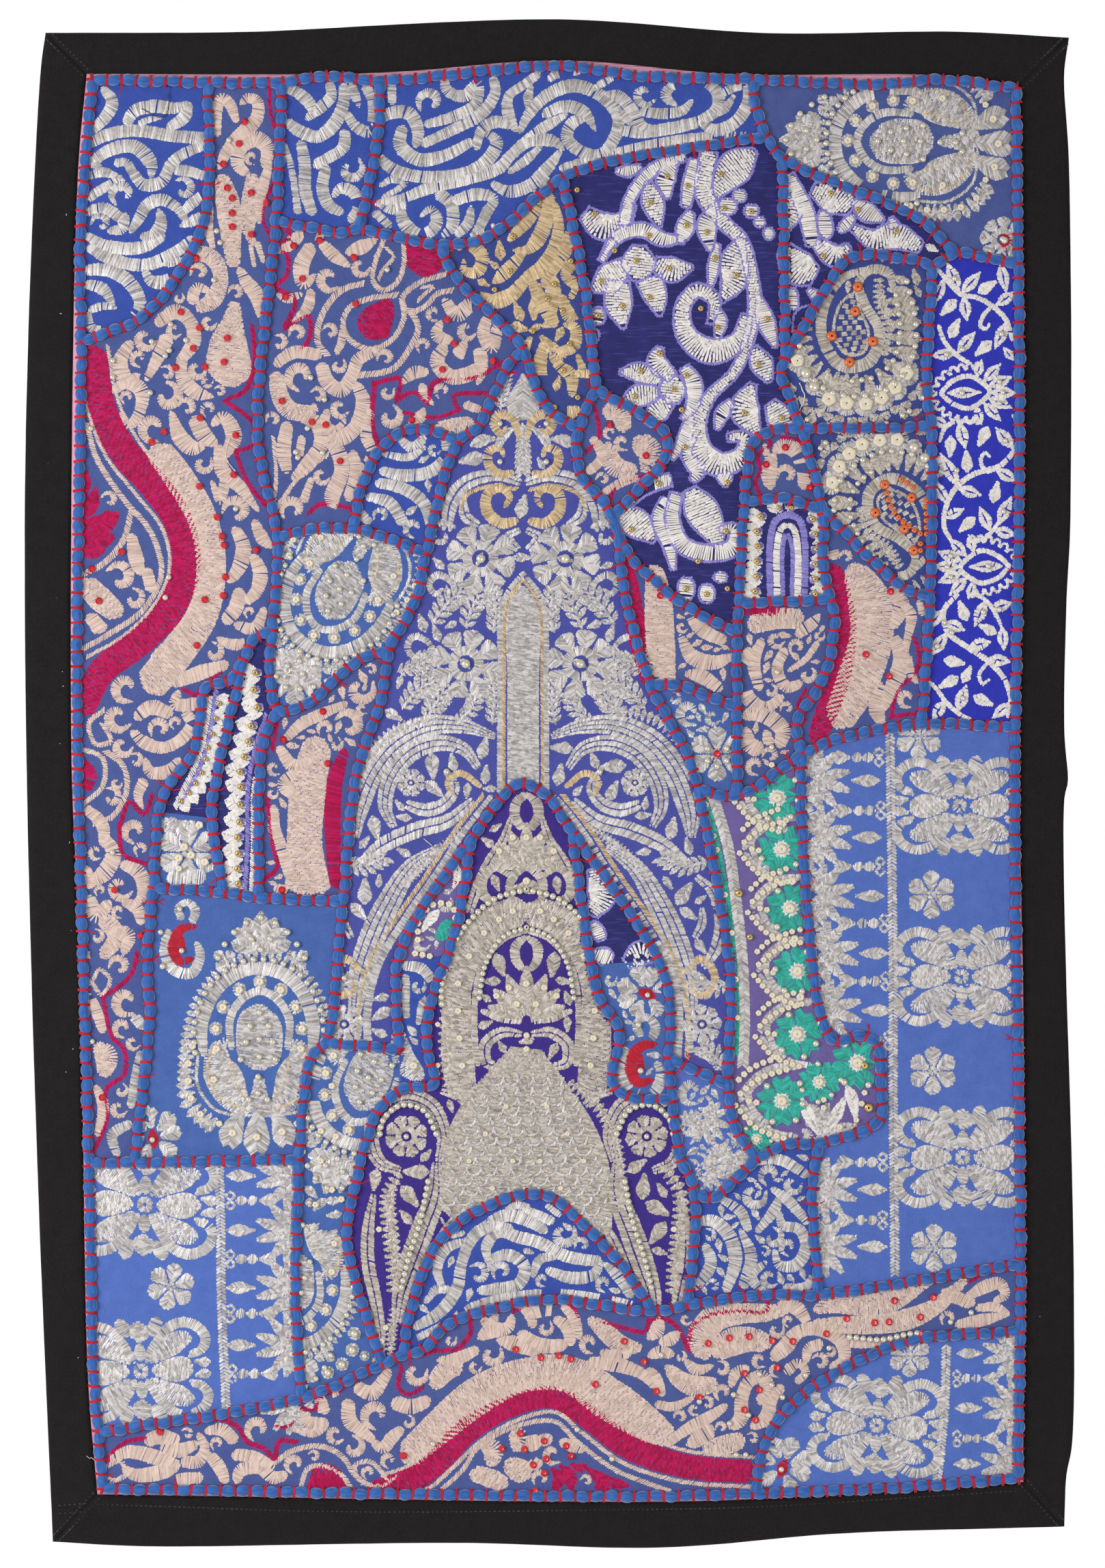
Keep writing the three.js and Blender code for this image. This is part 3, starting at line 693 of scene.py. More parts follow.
for name, runs in BRAIDS.items():
    braid(f"roving_{name}", f"seam_braid_{name}", [SEAMS[run] for run in runs.split()])

# The stitches. Each one is a thread that arches from needle hole to needle hole. They are laid as
# satin columns, herringbone leaves, ropes and brick fills, and each lies on one patch only.

UNEVEN = 0.35
WIDEST_STITCH = 26
BRICK = 11
stitches = {}
beads = {}


def laid(thread, a, b, thick):
    """Keeps stitches from a to b for later, with slightly uneven ends, widths and heights."""
    a = a + chance.normal(0, UNEVEN, a.shape)
    b = b + chance.normal(0, UNEVEN, b.shape)
    lift = np.full(len(a), chance.uniform(0, 0.12))
    wide = thick * chance.uniform(0.85, 1.2, len(a))
    stitches.setdefault(thread, []).append(np.column_stack([a, b, wide, lift]))


def satin(thread, knots, pitch=2.2, slant=0.12, cover=1.05):
    """Stitches side by side straight across a line as long as its width there, with rounded ends
    and a few left out. Where it is wider than 26 squares each row is broken into shorter
    stitches, brick fashion."""
    pitch = pitch * 1.25 if knots[:, 2].max() > WIDEST_STITCH else pitch
    line = drawn(knots, pitch)
    inward = np.minimum(np.arange(len(line)) + 0.5, len(line) - np.arange(len(line)) - 0.5) * pitch
    line[:, 2] *= np.clip(inward / (0.3 * line[:, 2].mean()), 0.1, 1) ** 0.5
    if line[:, 2].max() < WIDEST_STITCH:
        line = line[chance.uniform(0, 1, len(line)) > 0.02]
    side, along = axes_of(line)
    half = (side + along * slant) * line[:, 2:] / 2
    a, b = line[:, :2] - half, line[:, :2] + half
    if line[:, 2].max() > WIDEST_STITCH:
        parts = int(np.ceil(line[:, 2].max() / BRICK))
        row = np.repeat(np.arange(len(line)), parts + 1)
        part = np.tile(np.arange(parts + 1), len(line))
        start = np.clip((part - (row % 3) / 3) / parts, 0, 1)[:, None]
        end = np.clip((part + 1 - (row % 3) / 3) / parts, 0, 1)[:, None]
        long = (end - start)[:, 0] * line[row, 2] > 2
        a, b = (a[row] + (b - a)[row] * start)[long], (a[row] + (b - a)[row] * end)[long]
    laid(thread, a, b, pitch * cover)


def herringbone(thread, knots, pitch=2.35, cover=1.0):
    """Two rows of slanted stitches that meet on the line, as a leaf or petal is filled."""
    line = drawn(knots, pitch)
    side, along = axes_of(line)
    for hand in (-1, 1):
        reach = (hand * side + along * 0.55) * line[:, 2:] / 2
        laid(thread, line[:, :2] - along * line[:, 2:] * 0.1, line[:, :2] + reach,
             pitch * cover)


def rope(thread, knots, pitch=3.4):
    """Short overlapping stitches that slant along the line."""
    line = drawn(knots, pitch)
    side, along = axes_of(line)
    half = side * line[:, 2:] / 2 + along * pitch * 0.85
    laid(thread, line[:, :2] - half, line[:, :2] + half, 2.3)


def chain(thread, knots):
    """A braid of slanting stitches that meet on the line, with gaps between them."""
    herringbone(thread, knots, 4.8, 0.7)


def plume(thread, knots, row=11):
    """Narrow satin rows side by side along a line, as many as its width takes, so they lie like
    the barbs of a feather and close up where it narrows."""
    line = drawn(knots, 3.0)
    count = max(2, int(round(line[:, 2].max() / row)))
    side = axes_of(line)[0]
    for place in (np.arange(count) + 0.5) / count - 0.5:
        middle = line[:, :2] + side * line[:, 2:] * place
        satin(thread, np.column_stack([middle, line[:, 2] / count * 0.8]), 2.4, 0.45)


def leaflet(thread, base, tip, wide):
    """One herringbone leaf from base to tip."""
    middle = base * 0.45 + tip * 0.55
    herringbone(thread, np.array([(*base, wide * 0.3), (*middle, wide), (*tip, wide * 0.2)]))


def sprig(thread, knots):
    """A stem with pairs of leaves, each as long as the width of the line there."""
    rope(thread, np.column_stack([knots[:, :2], np.full(len(knots), 4.0)]))
    line = drawn(knots, knots[:, 2].mean() * 0.55)
    side, along = axes_of(line)
    for (x, y, size), across, ahead in zip(line, side, -along):
        for hand in (-1, 1):
            reach = (hand * across * 0.75 + ahead * 0.66) * size
            leaflet(thread, np.array([x, y]), np.array([x, y]) + reach, size * 0.42)


def frill(thread, knots):
    """Leaves side by side along the left of a line, each as long as the width of the line."""
    line = drawn(knots, abs(knots[:, 2]).mean() * 0.5)
    for (x, y, size), across in zip(line, axes_of(line)[0]):
        leaflet(thread, np.array([x, y]), np.array([x, y]) + across * size, abs(size) * 0.5)


def rose(thread, knots):
    """A round flower at each point, as wide as its third number: eight petals about two rings."""
    for x, y, wide in knots:
        turn = np.linspace(0, 2 * np.pi, 9) + x
        ray = np.stack([np.cos(turn), np.sin(turn)], -1)
        for way in ray[:8]:
            leaflet(thread, way * wide * 0.2 + [x, y], way * wide * 0.5 + [x, y], wide * 0.31)
        ring = np.column_stack([ray * wide * 0.2 + [x, y], np.full(9, wide * 0.14)])
        satin(thread, ring, 2.0)
        dotted("bead", np.array([(x, y, wide * 0.13)]))


def fan(thread, knots):
    """A palmette: from the first point leaves spread to either side of the second. The first
    number gives how many there are, the last how wide each is."""
    base, tip = knots[0, :2], knots[-1, :2]
    count = max(3, int(round(knots[0, 2])))
    for turn in np.radians(np.linspace(-68, 68, count)):
        spin = np.array([[np.cos(turn), np.sin(turn)], [-np.sin(turn), np.cos(turn)]])
        reach = (tip - base) @ spin * (1 - 0.22 * abs(turn))
        leaflet(thread, base + reach * 0.14, base + reach, knots[-1, 2])


def strung(thread, knots, pitch=1.15):
    """Beads in a row along the line, each as wide as the line is there."""
    line = drawn(knots, 1.0)
    gap = line[:, 2].mean() * pitch
    beads.setdefault(thread, []).append(line[::max(1, int(round(gap)))])


def dotted(thread, knots):
    """A single bead at each point."""
    beads.setdefault(thread, []).append(knots)


def spaced(thread, knots):
    """Beads along the line with gaps almost as wide as they are."""
    strung(thread, knots, 1.75)


def ringed(thread, knots):
    """A bead at each point in a ring of silver stitches."""
    turn = np.linspace(0, 2 * np.pi, 8)
    for x, y, wide in knots:
        loop = np.stack([x + wide * 0.62 * np.cos(turn), y + wide * 0.62 * np.sin(turn)], -1)
        satin("silver", np.column_stack([loop, np.full(8, wide * 0.5)]), 2.0)
    dotted(thread, knots)


def scales(thread, knots, row=15.0, radius=11, lift=0.55):
    """Rows of small arcs laid over a fill, each row shifted by half an arc."""
    line = drawn(knots, row)
    angle = np.radians([0, 45, 90, 135, 180])
    arc = np.stack([np.cos(angle), np.sin(angle) * 0.8], -1) * radius
    for k, ((x, y, wide), across) in enumerate(zip(line, axes_of(line)[0])):
        for shift in np.arange(-wide / 2 + (k % 2) * radius, wide / 2, 2 * radius):
            loop = arc + np.array([x, y]) + across * shift
            rope(thread, np.column_stack([loop, np.full(5, 2.0)]))
            stitches[thread][-1][:, 5] += lift


def checks(thread, knots, row=8.0, bar=8, step=14):
    """A basket of bars across the line: short bars with gaps, each row shifted by half a bar."""
    line = drawn(knots, row)
    for k, ((x, y, wide), across) in enumerate(zip(line, axes_of(line)[0])):
        starts = np.arange(-wide / 2 + (k % 2) * step / 2, wide / 2 - 5, step)[:, None]
        for shift in (-1.6, 1.6):
            a = np.array([x, y]) + across * starts + [across[1] * shift, -across[0] * shift]
            laid(thread, a, a + across * bar, 3.2)


WAYS = {
    "satin": satin, "leaf": herringbone, "rope": rope, "chain": chain, "plume": plume,
    "sprig": sprig, "frill": frill, "rose": rose, "fan": fan, "scales": scales,
    "checks": checks, "beads": strung, "dots": dotted, "spaced": spaced, "ringed": ringed,
}


def worked(text, place=(0, 0, 0, 1), home=None):
    """Each row of the text is a thread, a way of laying it and strokes parted by bars, whose
    points are right, down, width. A place is right, down, turn in degrees and size, and a
    negative size mirrors the motif. With a home patch, only what lies on that patch is kept."""
    right, down, turn, size = place
    turn = np.radians(turn)
    spin = np.array([[np.cos(turn), np.sin(turn)], [-np.sin(turn), np.cos(turn)]])
    rows = rows_of(text, 3)
    before = [(group, thread, len(group.get(thread, []))) for group in (stitches, beads)
              for thread, _, _ in rows]
    for thread, way, strokes in rows:
        for knots in strokes_of(strokes):
            knots *= abs(size)
            if way == "fan":
                knots[0, 2] /= abs(size)
            if size < 0:
                knots[:, 1] *= -1
            knots[:, :2] = knots[:, :2] @ spin + [right, down]
            WAYS[way](thread, knots)
    if home is not None:
        for group, thread, count in before:
            for k in range(count, len(group.get(thread, []))):
                x, y = group[thread][k][:, :2].T
                group[thread][k] = group[thread][k][owner_of(x, y) == home]


def many(text, places, mirrored=False):
    """A motif at each of several places, kept to the patch that it stands on. A mirrored one is
    a quarter of its motif, and is worked four times."""
    for right, down, turn, size in strokes_of(places)[0]:
        for half, way in ((0, 1), (0, -1), (180, 1), (180, -1))[:4 if mirrored else 1]:
            worked(text, (right, down, turn + half, size * way), owner_of(right, down))


def owner_of(x, y):
    """The number of the patch under a place, or -1."""
    j = np.clip(((x - grid_x[0]) // PITCH).astype(int), 0, len(grid_x) - 1)
    i = np.clip(((y - grid_y[0]) // PITCH).astype(int), 0, len(grid_y) - 1)
    return owner[i, j]


# Royal blue scraps of a sari border with scrolls, satin stitched in silver metal thread. They
# are cut across the scrolls, and their raw edges lie under the roving.

worked("""
silver satin 150,128,12 14,20,18 -9,22 -23,22,14|122,140,8 6,12 -8,18,6|184,182,16 12,-19,18
  29,-8,20 30,3,16 21,-8,8|278,150,10 -8,20,18 -25,18,14|203,182,10 14,-7 20,-3,4|124,212,16
  36,-16,18 40,-5 50,7 50,4|130,242,14 25,-20,18 40,-8,20 25,24 1,24,5|168,238,14 17,0,12 9,14,14
  16,18,18 26,-4 14,-26,16 16,-14 36,-16,14|255,248,16 20,2 27,8,14|124,232,10 16,8,14 6,10,8|
  126,258,10 26,-6,14 30,12,4|128,290,14 22,-14 28,-18,8|124,310,14 28,-6,16 23,14 13,8,9|
  184,312,12 -6,22,16 -20,4,10|190,340,8 13,-20,16 12,-20,18 21,-8 24,13,14 12,17,10|232,306,8
  4,19,18 -11,20,20 -19,1,12|262,316,8 18,-18,16 18,-14,14|264,330,8 20,-8,16 18,-8|124,343,12
  32,17,18 52,2 32,-18,14|128,360 32,18,18 50,10 42,-16 32,-24,14|238,386,6 14,-2,12 18,-7,4|
  210,395,8 12,16,18 20,1,20 22,-14,14|124,395,16 36,1,20 30,18 15,31,18 -15,27 -30,12,16
  -26,-4,14 -6,-22,12|124,415,14 26,8,18 16,23,8|170,450,6 -20,-2,12 -20,6,10
silver satin 405,128,12 25,4,16 22,18,18 8,18,10|482,120,14 3,20,16 -15,16,18 -22,18,10|418,176,14
  22,16,18 25,8 25,-20,20 13,-30,18 1,-28,16|514,122,12 6,18,14 6,16,5|535,124,16 11,26 -5,42,18
  -19,-6,16 -16,-22,12|440,206,16 6,34,18 1,40 11,34,16|415,208,8 10,32,10 7,40 4,32,12|505,190,16
  -2,25,18 -23,16,16 -20,11|478,242 -6,33,18 9,25 21,12,12|487,288,8 13,-13,16 20,9,18 4,20,16
  -12,20,14
silver satin 573,122,14 1,30,12|650,112,14 5,20,16 25,8,18 18,-16 -1,26,16 -33,20 -42,12,12|
  722,112,14 3,23,16 -20,31,18 -43,24,16 -44,21,14|545,182 27,-17,18 27,1,20 13,26,18 -4,22,12|
  590,184,16 -4,28,20 26,21 38,-5,18 42,-22,14|548,222,12 27,25,18 45,12 70,-9 30,-24,20 7,-20,18
  -17,-12,8|790,106,12 -24,18,14 -21,16 -1,25,18 12,27,10|772,158,8 2,-18,14 5,-16,5|697,218,12
  8,-27,16 19,-13,18 26,4,16|556,272,6 19,-10,12 17,6,10 -32,22,8|550,298,10 40,-8,14 42,-16,18
  50,-12 48,-16 20,-21,16 25,-19,18 33,0 18,12,5|640,282,18 20,16 2,32 -14,16,12|690,302,8
  -4,23,16 -18,20,12|664,294,16 36,-10,18 23,7,14 -11,21,16 -12,24,14 -12,16,10|584,300,14
  10,30,20 26,14,18 20,-20 -9,-18,12 -15,10,6|548,310,14 24,22,12|556,298 19,8,16 19,-6,14|
  720,268,10 25,12,18 30,-9 27,-26 20,-26,7|745,252,8 25,-18,14 22,-20,8|760,194 15,-28,16
  25,-26,18 40,-15,20 40,15,18 25,30 -5,32 -21,24 -29,-5 -20,-21 8,-20 20,-10,12|795,168,14
  33,-13,18 28,10 16,26,4|764,206,8 36,-22,16 30,-17,8|803,116,10 17,-11,14 28,0,10|866,132,7
  18,-12,12 18,-10,9|884,139,10 21,1,18 20,20 15,26 18,4,12|898,158,7 16,12,16 11,12,7|903,190,14
  33,3,18 32,-3 32,-6 27,-8,16 23,-18,18 0,-24 -18,-15,12|938,162,14 32,4,16 30,-5,14 14,-15,7|
  990,154,6 -15,-14,16 9,-15,14 22,-7,8|1024,176,12 22,14,18 29,-10 20,-30 -2,-26,10|1050,142
  23,-14,14 21,-6,12|1040,168,7 20,-8,14 16,-22,5|820,246,12 60,-17,14 80,-18,16 80,-11 64,0,14|
  680,350,8 50,-20,14 45,-34 27,-36,10
silver satin 585,642,10 19,13,16 18,-15,12|560,664,8 40,5,12 22,-15,7|652,640,14 3,26,18 -25,24
  -40,6 -34,-8,12|550,706,14 40,9,18 30,21 12,36,14|535,726,12 35,10,18 22,32,16|524,748 18,18,12
""")

# Dusty blue scraps of a sari edge, worked in peach and magenta floss in satin columns and brick
# fills. The small red stones and silver beads are sewn on one by one.

worked("""
peach satin 318,198,10 -1,-36,17 7,-20,14 12,10,17 10,26,10|352,152,8 10,-9,14 14,5,17 0,24,19
  -16,18,22 -16,16 -15,20,17 -9,20,10|364,256,12 -16,-16,19 4,-26,22 22,-11,24 17,13,22 -5,28,14|
  372,256,22 -5,44,29 -4,38,17 13,24,6|396,232,7 -6,22,14 -10,38,17 -1,34,7|309,300 -4,35,14
  7,29,7|268,384,10 22,-14,22 25,12,24 8,30,22 -13,28,26 -24,12,14|280,444,17 8,-22 20,4,7|
  350,392,10 10,19,19 15,21,22 4,32,6|366,352,7 6,38|386,384 -10,-30,10|228,474,17 30,-18,22
  22,18,19 3,26,22 -23,32,12|246,492,22 -14,29,19 -18,35,10|192,500,14 -16,30,22 10,28 18,-10,8|
  165,574,10 19,-14,19 22,11,22 -1,29,17 -15,22,14 -14,-18,7|270,520,10 -4,30,19 20,24,22 26,7,6|
  250,602,8 14,38,24 18,16,22 20,-6,8|284,610,22 15,28,24 18,14,12|310,622,10 16,-12,17 16,26,24
  -10,24,17 -16,12,12|321,652,17 5,38,22 24,22,19 28,36,7|331,696,17 -9,36,14 -12,-28,7|343,772,14
  13,28,22 -6,30 -16,22,12|372,762 12,26,19 13,14,8|370,812,14 11,28,22 -6,26,19 -17,16,14|
  352,862,19 -7,28,22 -17,22,17|388,890,10 -16,30,19 -28,-6,12|318,934,8 24,10,17 30,-6,10|
  226,652,40 36,48,44 34,60 13,70 -13,70,46 -34,52,50 -48,58|120,850,31 30,30,36 26,22,26|
  192,782,14 8,40,22 6,20,10|214,832,17 8,34|130,900,19 20,25,24
peach satin 345,432,11 -4,36,30 -6,40,58 0,37,62 0,25,17|324,254,19 10,46,36 4,45,30 4,47,19
peach rope 110,510,5 18,90 27,68 45,57 38,50 10,55 -20,52 -43,46 -57,34|157,506 17,84 32,60 44,53
  36,55 10,72 -23,70 -51,62|126,620,8 15,50 39,60 41,50 15,60 -26,52 -50,36 -42,24|192,748
  -12,44,9 -30,34 -32,16,8
magenta satin 133,506,42 17,94 30,60,44 46,50,46 36,55,44 11,65 -23,60 -50,52 -50,40,40 -32,63,36
magenta leaf 112,760,6 18,-15,22 10,-29,6|120,765,10 30,0,30 22,-13,6|118,775,12 22,15,30 26,-4,6|
  116,740,8 6,-28,20 4,-22,4|114,790,10 16,18,20 22,-2,4
magenta rope 395,128,6 -1,22 7,36|402,262 -18,50 13,40|369,476,7 3,54 -12,40 -30,16|330,586 42,36
  0,28 -28,10|344,660 16,42 30,40
stone dots 358,178,9 -8,32 -23,30 6,35 7,15 0,22 0,20 28,-50 0,61 22,-46 -103,81 -22,79 27,23
  -9,30 -26,28 43,-1 33,-42 -5,35 -35,82 -53,20 -18,15 123,-10 -3,58 -50,17 26,45 7,28 3,13 47,7
  -45,40 -3,27 -27,6 -165,-45 43,-25 -33,72 143,65
bead dots 335,205,8 -18,133 5,17 -9,55 -63,65 -28,25 50,-2 -24,15 -6,8 -77,7 0,24 55,23 -87,52
  212,118 -98,100 -5,30
""")
worked("""
peach satin 422,348,7 28,-8,17 30,5,19 22,-3,7|457,358,19 -16,32,24 4,25,19 17,-13,7|470,355,14
  20,20,19 22,15,7|506,370,10 24,-9,22 22,-11,7|402,368,5 18,-7,17 22,-11,6|405,430,5 15,7,14
  22,-7,7|456,424,12 -6,26,17 -22,22,5|402,534,14 28,-18,19 40,4,17|405,545,22 5,35,26 16,21
  30,1,19 6,-12,7|470,532,19 10,28,22 20,11 15,-21,19 10,-24 21,-11,14 5,-9,6|502,478,7 -2,22,12
  -8,18,8|521,560,14 11,30,22 -12,36 -20,15 -22,-1,8|542,600,14 -6,40,17 10,22 -18,30,14|
  480,600,10 -5,20,17 15,11,14 16,-17,7|421,618,17 -6,42,22 5,32,14|440,608,17 25,13,22 5,29
  -20,30 -22,22,12|442,638 -4,30|456,700,10 -12,34,14|482,650 13,11,22 5,29 -14,40 6,14,10|
  516,660,14 5,30,19 -11,42,17|650,438,14 20,22,22 20,-14 22,9,17|646,470,8 -6,20,19 22,10,12|
  652,505,17 -12,25,22 20,21 30,-5 22,-18,11|682,500 -13,22,22|702,510,19 3,30 -6,22,6|716,458,14
  -8,32,19 13,20,17 9,-30 18,12,6|627,545,12 -22,1,19 -17,16,6|618,562,12 4,18,14 12,12,5|
  599,622,8 16,-12,17 6,-12,6|636,626,17 29,0,29 29,-6,22|680,592,14 24,8,12
peach rope 562,350,7 -13,35 -3,25 14,15,8 20,-10,7 11,-25 0,-35|565,362,5 11,14 -15,18 -6,14|
  656,400,8 -44,15 -22,20 6,21 24,-6 21,-20 21,-5|612,440,5 10,-10 12,-10 -16,0|581,432,8 -40,5
  -29,13 -10,25 13,25 30,11 30,-15 16,-30 -2,-26|600,452,9 12,28 -12,30 -25,30 -55,10|532,415
  -32,10 -28,35 -7,40 14,20|400,640,6 4,60 -4,42|480,665 -40,31 -35,46
magenta satin 620,346,54 1,58|574,436,8 -12,20,36 -15,22,52 -6,20,22
magenta rope 412,330,8 14,16 -24,12|402,358 19,16 -3,32 -18,14|400,420 32,20 -16,40|416,480 35,-18
  0,38 -47,31|546,562 40,-7 -6,31|580,586 26,-12 20,16|626,590 10,-30 64,-9 41,-21 11,16|590,604,7
  50,7 32,-11|672,600 -8,-20 48,-5|548,560,8 -3,60 8,40 -19,32|450,752 20,-14 52,8
stone dots 430,360,9 38,-8 50,25 -75,31 -25,27 -5,152 44,31 20,4 21,53 23,-230 134,23 10,35 -17,38
  74,-13 -119,87
bead dots 567,395,8 -112,158 20,32 -25,42 -17,35 3,8 36,-7
""")

# Navy and white scraps of one printed sari. Their lilies and leaves are brick filled in white
# floss, outlined with a lilac rope and dotted with gold beads.


def edged(thread, knots):
    """A satin column with a lilac rope 1.5 squares outside both its sides. Two points make an
    oval."""
    if len(knots) == 2:
        share = np.array([[0], [0.2], [0.5], [0.8], [1]])
        knots = knots[:1] * (1 - share) + knots[1:] * share
        knots[:, 2] *= [0.35, 0.85, 1, 0.85, 0.35]
    satin(thread, knots, 3.3, cover=0.8)
    line = drawn(knots, 4.0)
    side = axes_of(line)[0] * (line[:, 2:] / 2 + 1.5)
    loop = np.vstack([line[:, :2] + side, (line[:, :2] - side)[::-1], (line[:, :2] + side)[:1]])
    rope("lilac", np.column_stack([loop, np.full(len(loop), 3.2)]))


WAYS["edged"] = edged
worked("""
white edged 915,330,14 4,-30 16,-30 25,-24,16 42,-18,12|856,312,20 28,19,38 28,-9,22 13,-24,12|
  948,264,6 8,32,30 10,36,4|990,234,6 -15,26,26 3,30,4|903,250,5 17,0,15 18,-6,5|1018,234,14
  -8,36,18 -6,32,12|1038,222,22 -7,58,24 25,42,18 30,30,16 14,48 5,50 -10,50,14 -20,45,12
  -35,35,14 -20,40,26 5,40,34 30,20,32 30,-12,24 6,-28,14 -25,0,10|1106,220,8 -24,20,46 -22,25,34
  -16,27,5|996,356,6 7,-22,24 8,-24,8|1045,302 -10,30,26 6,34,6|1065,291,26 1,23,22|1083,278,16
  0,17,18|1100,300 1,18|1112,318,14 1,14,12|1125,334,14 2,16,12|918,384,16 -26,24,40 -24,16,8|
  905,412,30 1,36,36 7,32,4|950,408,36 11,30,28 5,24,4|958,386,18 27,9,34 29,-4,4|880,382,6
  25,-36,16 35,-10,18 30,14 32,0,5|935,360,18 0,26,48 0,24,16|876,450,14 0,24,20|868,482,18
  0,20,12|1086,348,8 -10,32,36 -2,30 -18,32,4|1050,358,6 -5,30,14 -4,30,5|1040,474,6 6,-34,16
  -25,-15,18 -21,25,20 5,40,26 35,24,34 40,-14,24 14,-38,14|1050,498,4 5,-28,16 -5,-18,5|1110,432
  11,38,24 15,38,4|1104,508,8 11,24,30 12,26,7|966,508 -4,22,26 22,22,16|908,545,4 27,0,26
  31,15,14|913,588,6 19,-8,28 30,-5,20|950,622,7 15,-22,30 17,-12,14|1002,538,12 13,22,22 0,30,18
  -15,24,5|986,550,18 -1,20,36 0,20,16|1102,562,8 -11,38,40 21,38,5|1072,588,8 -14,17,18 -8,23,5|
  1128,590,16 16,24,36 8,18,10|1011,604,7 -8,36,18 -19,32,4|1016,640,9 -11,24,12 16,26,20 -7,14,6|
  1050,696,8 20,8,26|1010,716,16 16,29,46 19,35,30 9,24,5|990,722,16 -6,38,20 16,38,22 40,12
  34,-10 0,-26,14 -20,2,8|975,730,12 -10,30,18 15,40,16 6,34,4|982,702,16 -37,10,22 -23,26,6|
  905,745,8 25,20,40 28,27,6|1005,846,22 0,32|1035,856,20 0,26|1055,838,16 0,14|905,345,5 -20,27
white edged 1155,256,14 24,52,22 12,50,18|1150,268,8 9,36,34 -9,32,9|1190,276,16 34,14,48
  22,16,18|1205,308 6,40,22|1250,316,12 -20,22,14|1250,294,8 20,16,26 24,12,5|1248,332,8 32,18,26
  30,-5,36 38,16,16|1305,318,6 5,16,20|1148,364,22 22,28,48 22,12,28|1195,354,14 29,20,30
  20,-14,7|1197,448,6 -21,17,24 -12,23,4|1160,422,12 2,30,14|1184,424,8 20,16,18
brass dots 845,278,9 25,35 82,-16 25,-39 30,14 48,-17 5,50 40,5 -95,20 30,10 -85,5 -50,22 32,15
  48,11 -100,19 32,36 39,-13 -75,27 171,-84 31,25 45,64 -73,13 -24,-28 -59,66 -29,25 67,7 -19,20
  -56,10 68,20 -41,18 153,-85 -20,72 55,7 -142,43 62,52 -140,68 138,3 -41,44 -17,40 30,8 30,-8
  -100,-154 252,-425 39,24 56,31 -159,31 52,6 -50,28
""")

# The beaded scraps: paisleys of silver and worn metal thread packed with small beads, with rays
# of leaves round them and rows of cream bone beads. The beads are sewn on one by one.

BEADED_BUTA = """
silver satin -80,34,12 -2,-50,20 20,-46 34,-28 33,-6 33,8 30,28 16,46 -2,48,12
silver satin -38,24,10 -2,-44,12 18,-30 27,-12 25,12 18,30 -2,44,10
silver satin 4,-44,30 0,24,62 0,30,70 -2,30,60 0,20,22
silver satin -8,122,12 -26,-24,44 -16,-32,56 -8,-26,40 8,-22,20 12,2,10|16,122,12 26,-24,44
  16,-32,56 8,-26,40 -8,-22,20 -12,2,10
silver satin 4,64,16 0,26,24 0,32,44
gold rope -18,116,3 -40,-22 -16,-38 10,-34|26,116 40,-22 16,-38 -10,-34|-20,96 -14,-26 -6,-30|
  28,96 14,-26 6,-30
silver rope -88,30,4 0,50 28,36 50,8|94,30 0,50 -28,36 -52,8
silver leaf -22,118,14 -14,28,36 -6,22,16|2,118 -2,32,40 0,28,20|26,118,14 12,26,36 6,22,16
silver frill -60,128,26 -30,-28 -4,-40,24 2,-60,20 14,-50,16 38,-44 45,-14 45,14 34,40 14,54,20
  0,60,24 -4,40,26 -30,28
silver fan 6,-118,7 0,-62,24|-44,-104,3 -18,-16,16|56,-104,3 18,-16,16
bead spaced -92,30,9 -2,-40 18,-52 36,-36 45,-12 45,12 34,36 16,52 -2,40
moti ringed -60,24,12 -1,-30 11,-32 24,-26 31,-12 31,12 22,26 10,32 -2,30
bead dots 6,-172,9 -22,8 44,0 -62,14 80,0 -94,18 108,0 -118,20 130,0 -80,-28 28,0 -14,16 -2,94
  -14,20 28,0 -14,20 -20,4 40,0 -48,26 52,0 -24,-4 -2,30 0,24 -14,10 28,0
moti dots -96,20,11 -6,26 0,26 4,26 14,24 186,-102 6,26 0,26 -4,26 -14,24 -126,28,12 36,6 38,-8
  -94,-12,10 116,0 -124,-66,11 134,0
"""
many(BEADED_BUTA, "1314,210,-90,0.95 -818,662,208,0.9")
worked("""
silver rose 1468,350,64
red satin 1466,344,10 10,8,20 -10,10,10
bead dots 1471,352,10
""")
BEAD_SPRAY = """
tan satin 22,-98,10 -34,13,12 -26,37,16 -4,48 27,42,18 41,-4 16,-43,16 -22,-43,14 -8,-32,12
  18,-18,14 26,6 6,22,8
tan rope 12,-70,4 -28,24 -8,46 18,26 24,-2 8,-28 -14,-40 -4,-22
tan checks 4,-58,16 -4,28,34 2,34,44 4,22,32
tan frill 8,56,32 -38,-6 -24,-30,34 -2,-40,32 14,-40,26 24,-36,22 38,-16,20 40,4,18
tan frill 58,-86,26 -6,36,42 6,40,44 -6,40 -22,24,36 -26,6,32 -34,-4,28
tan frill 34,-82,14 0,30,18 12,42 -6,32,16
bead spaced -74,30,9 -2,-50 20,-46 30,-40 42,-18|82,-80 10,40 4,40 -12,46 -34,34 -40,8 -40,-6
  -32,-24
bead spaced 66,-60,8 6,50 -10,46 -28,24 -34,6
seed dots 10,-72,16 -4,36 -34,36 60,8 -34,30
"""
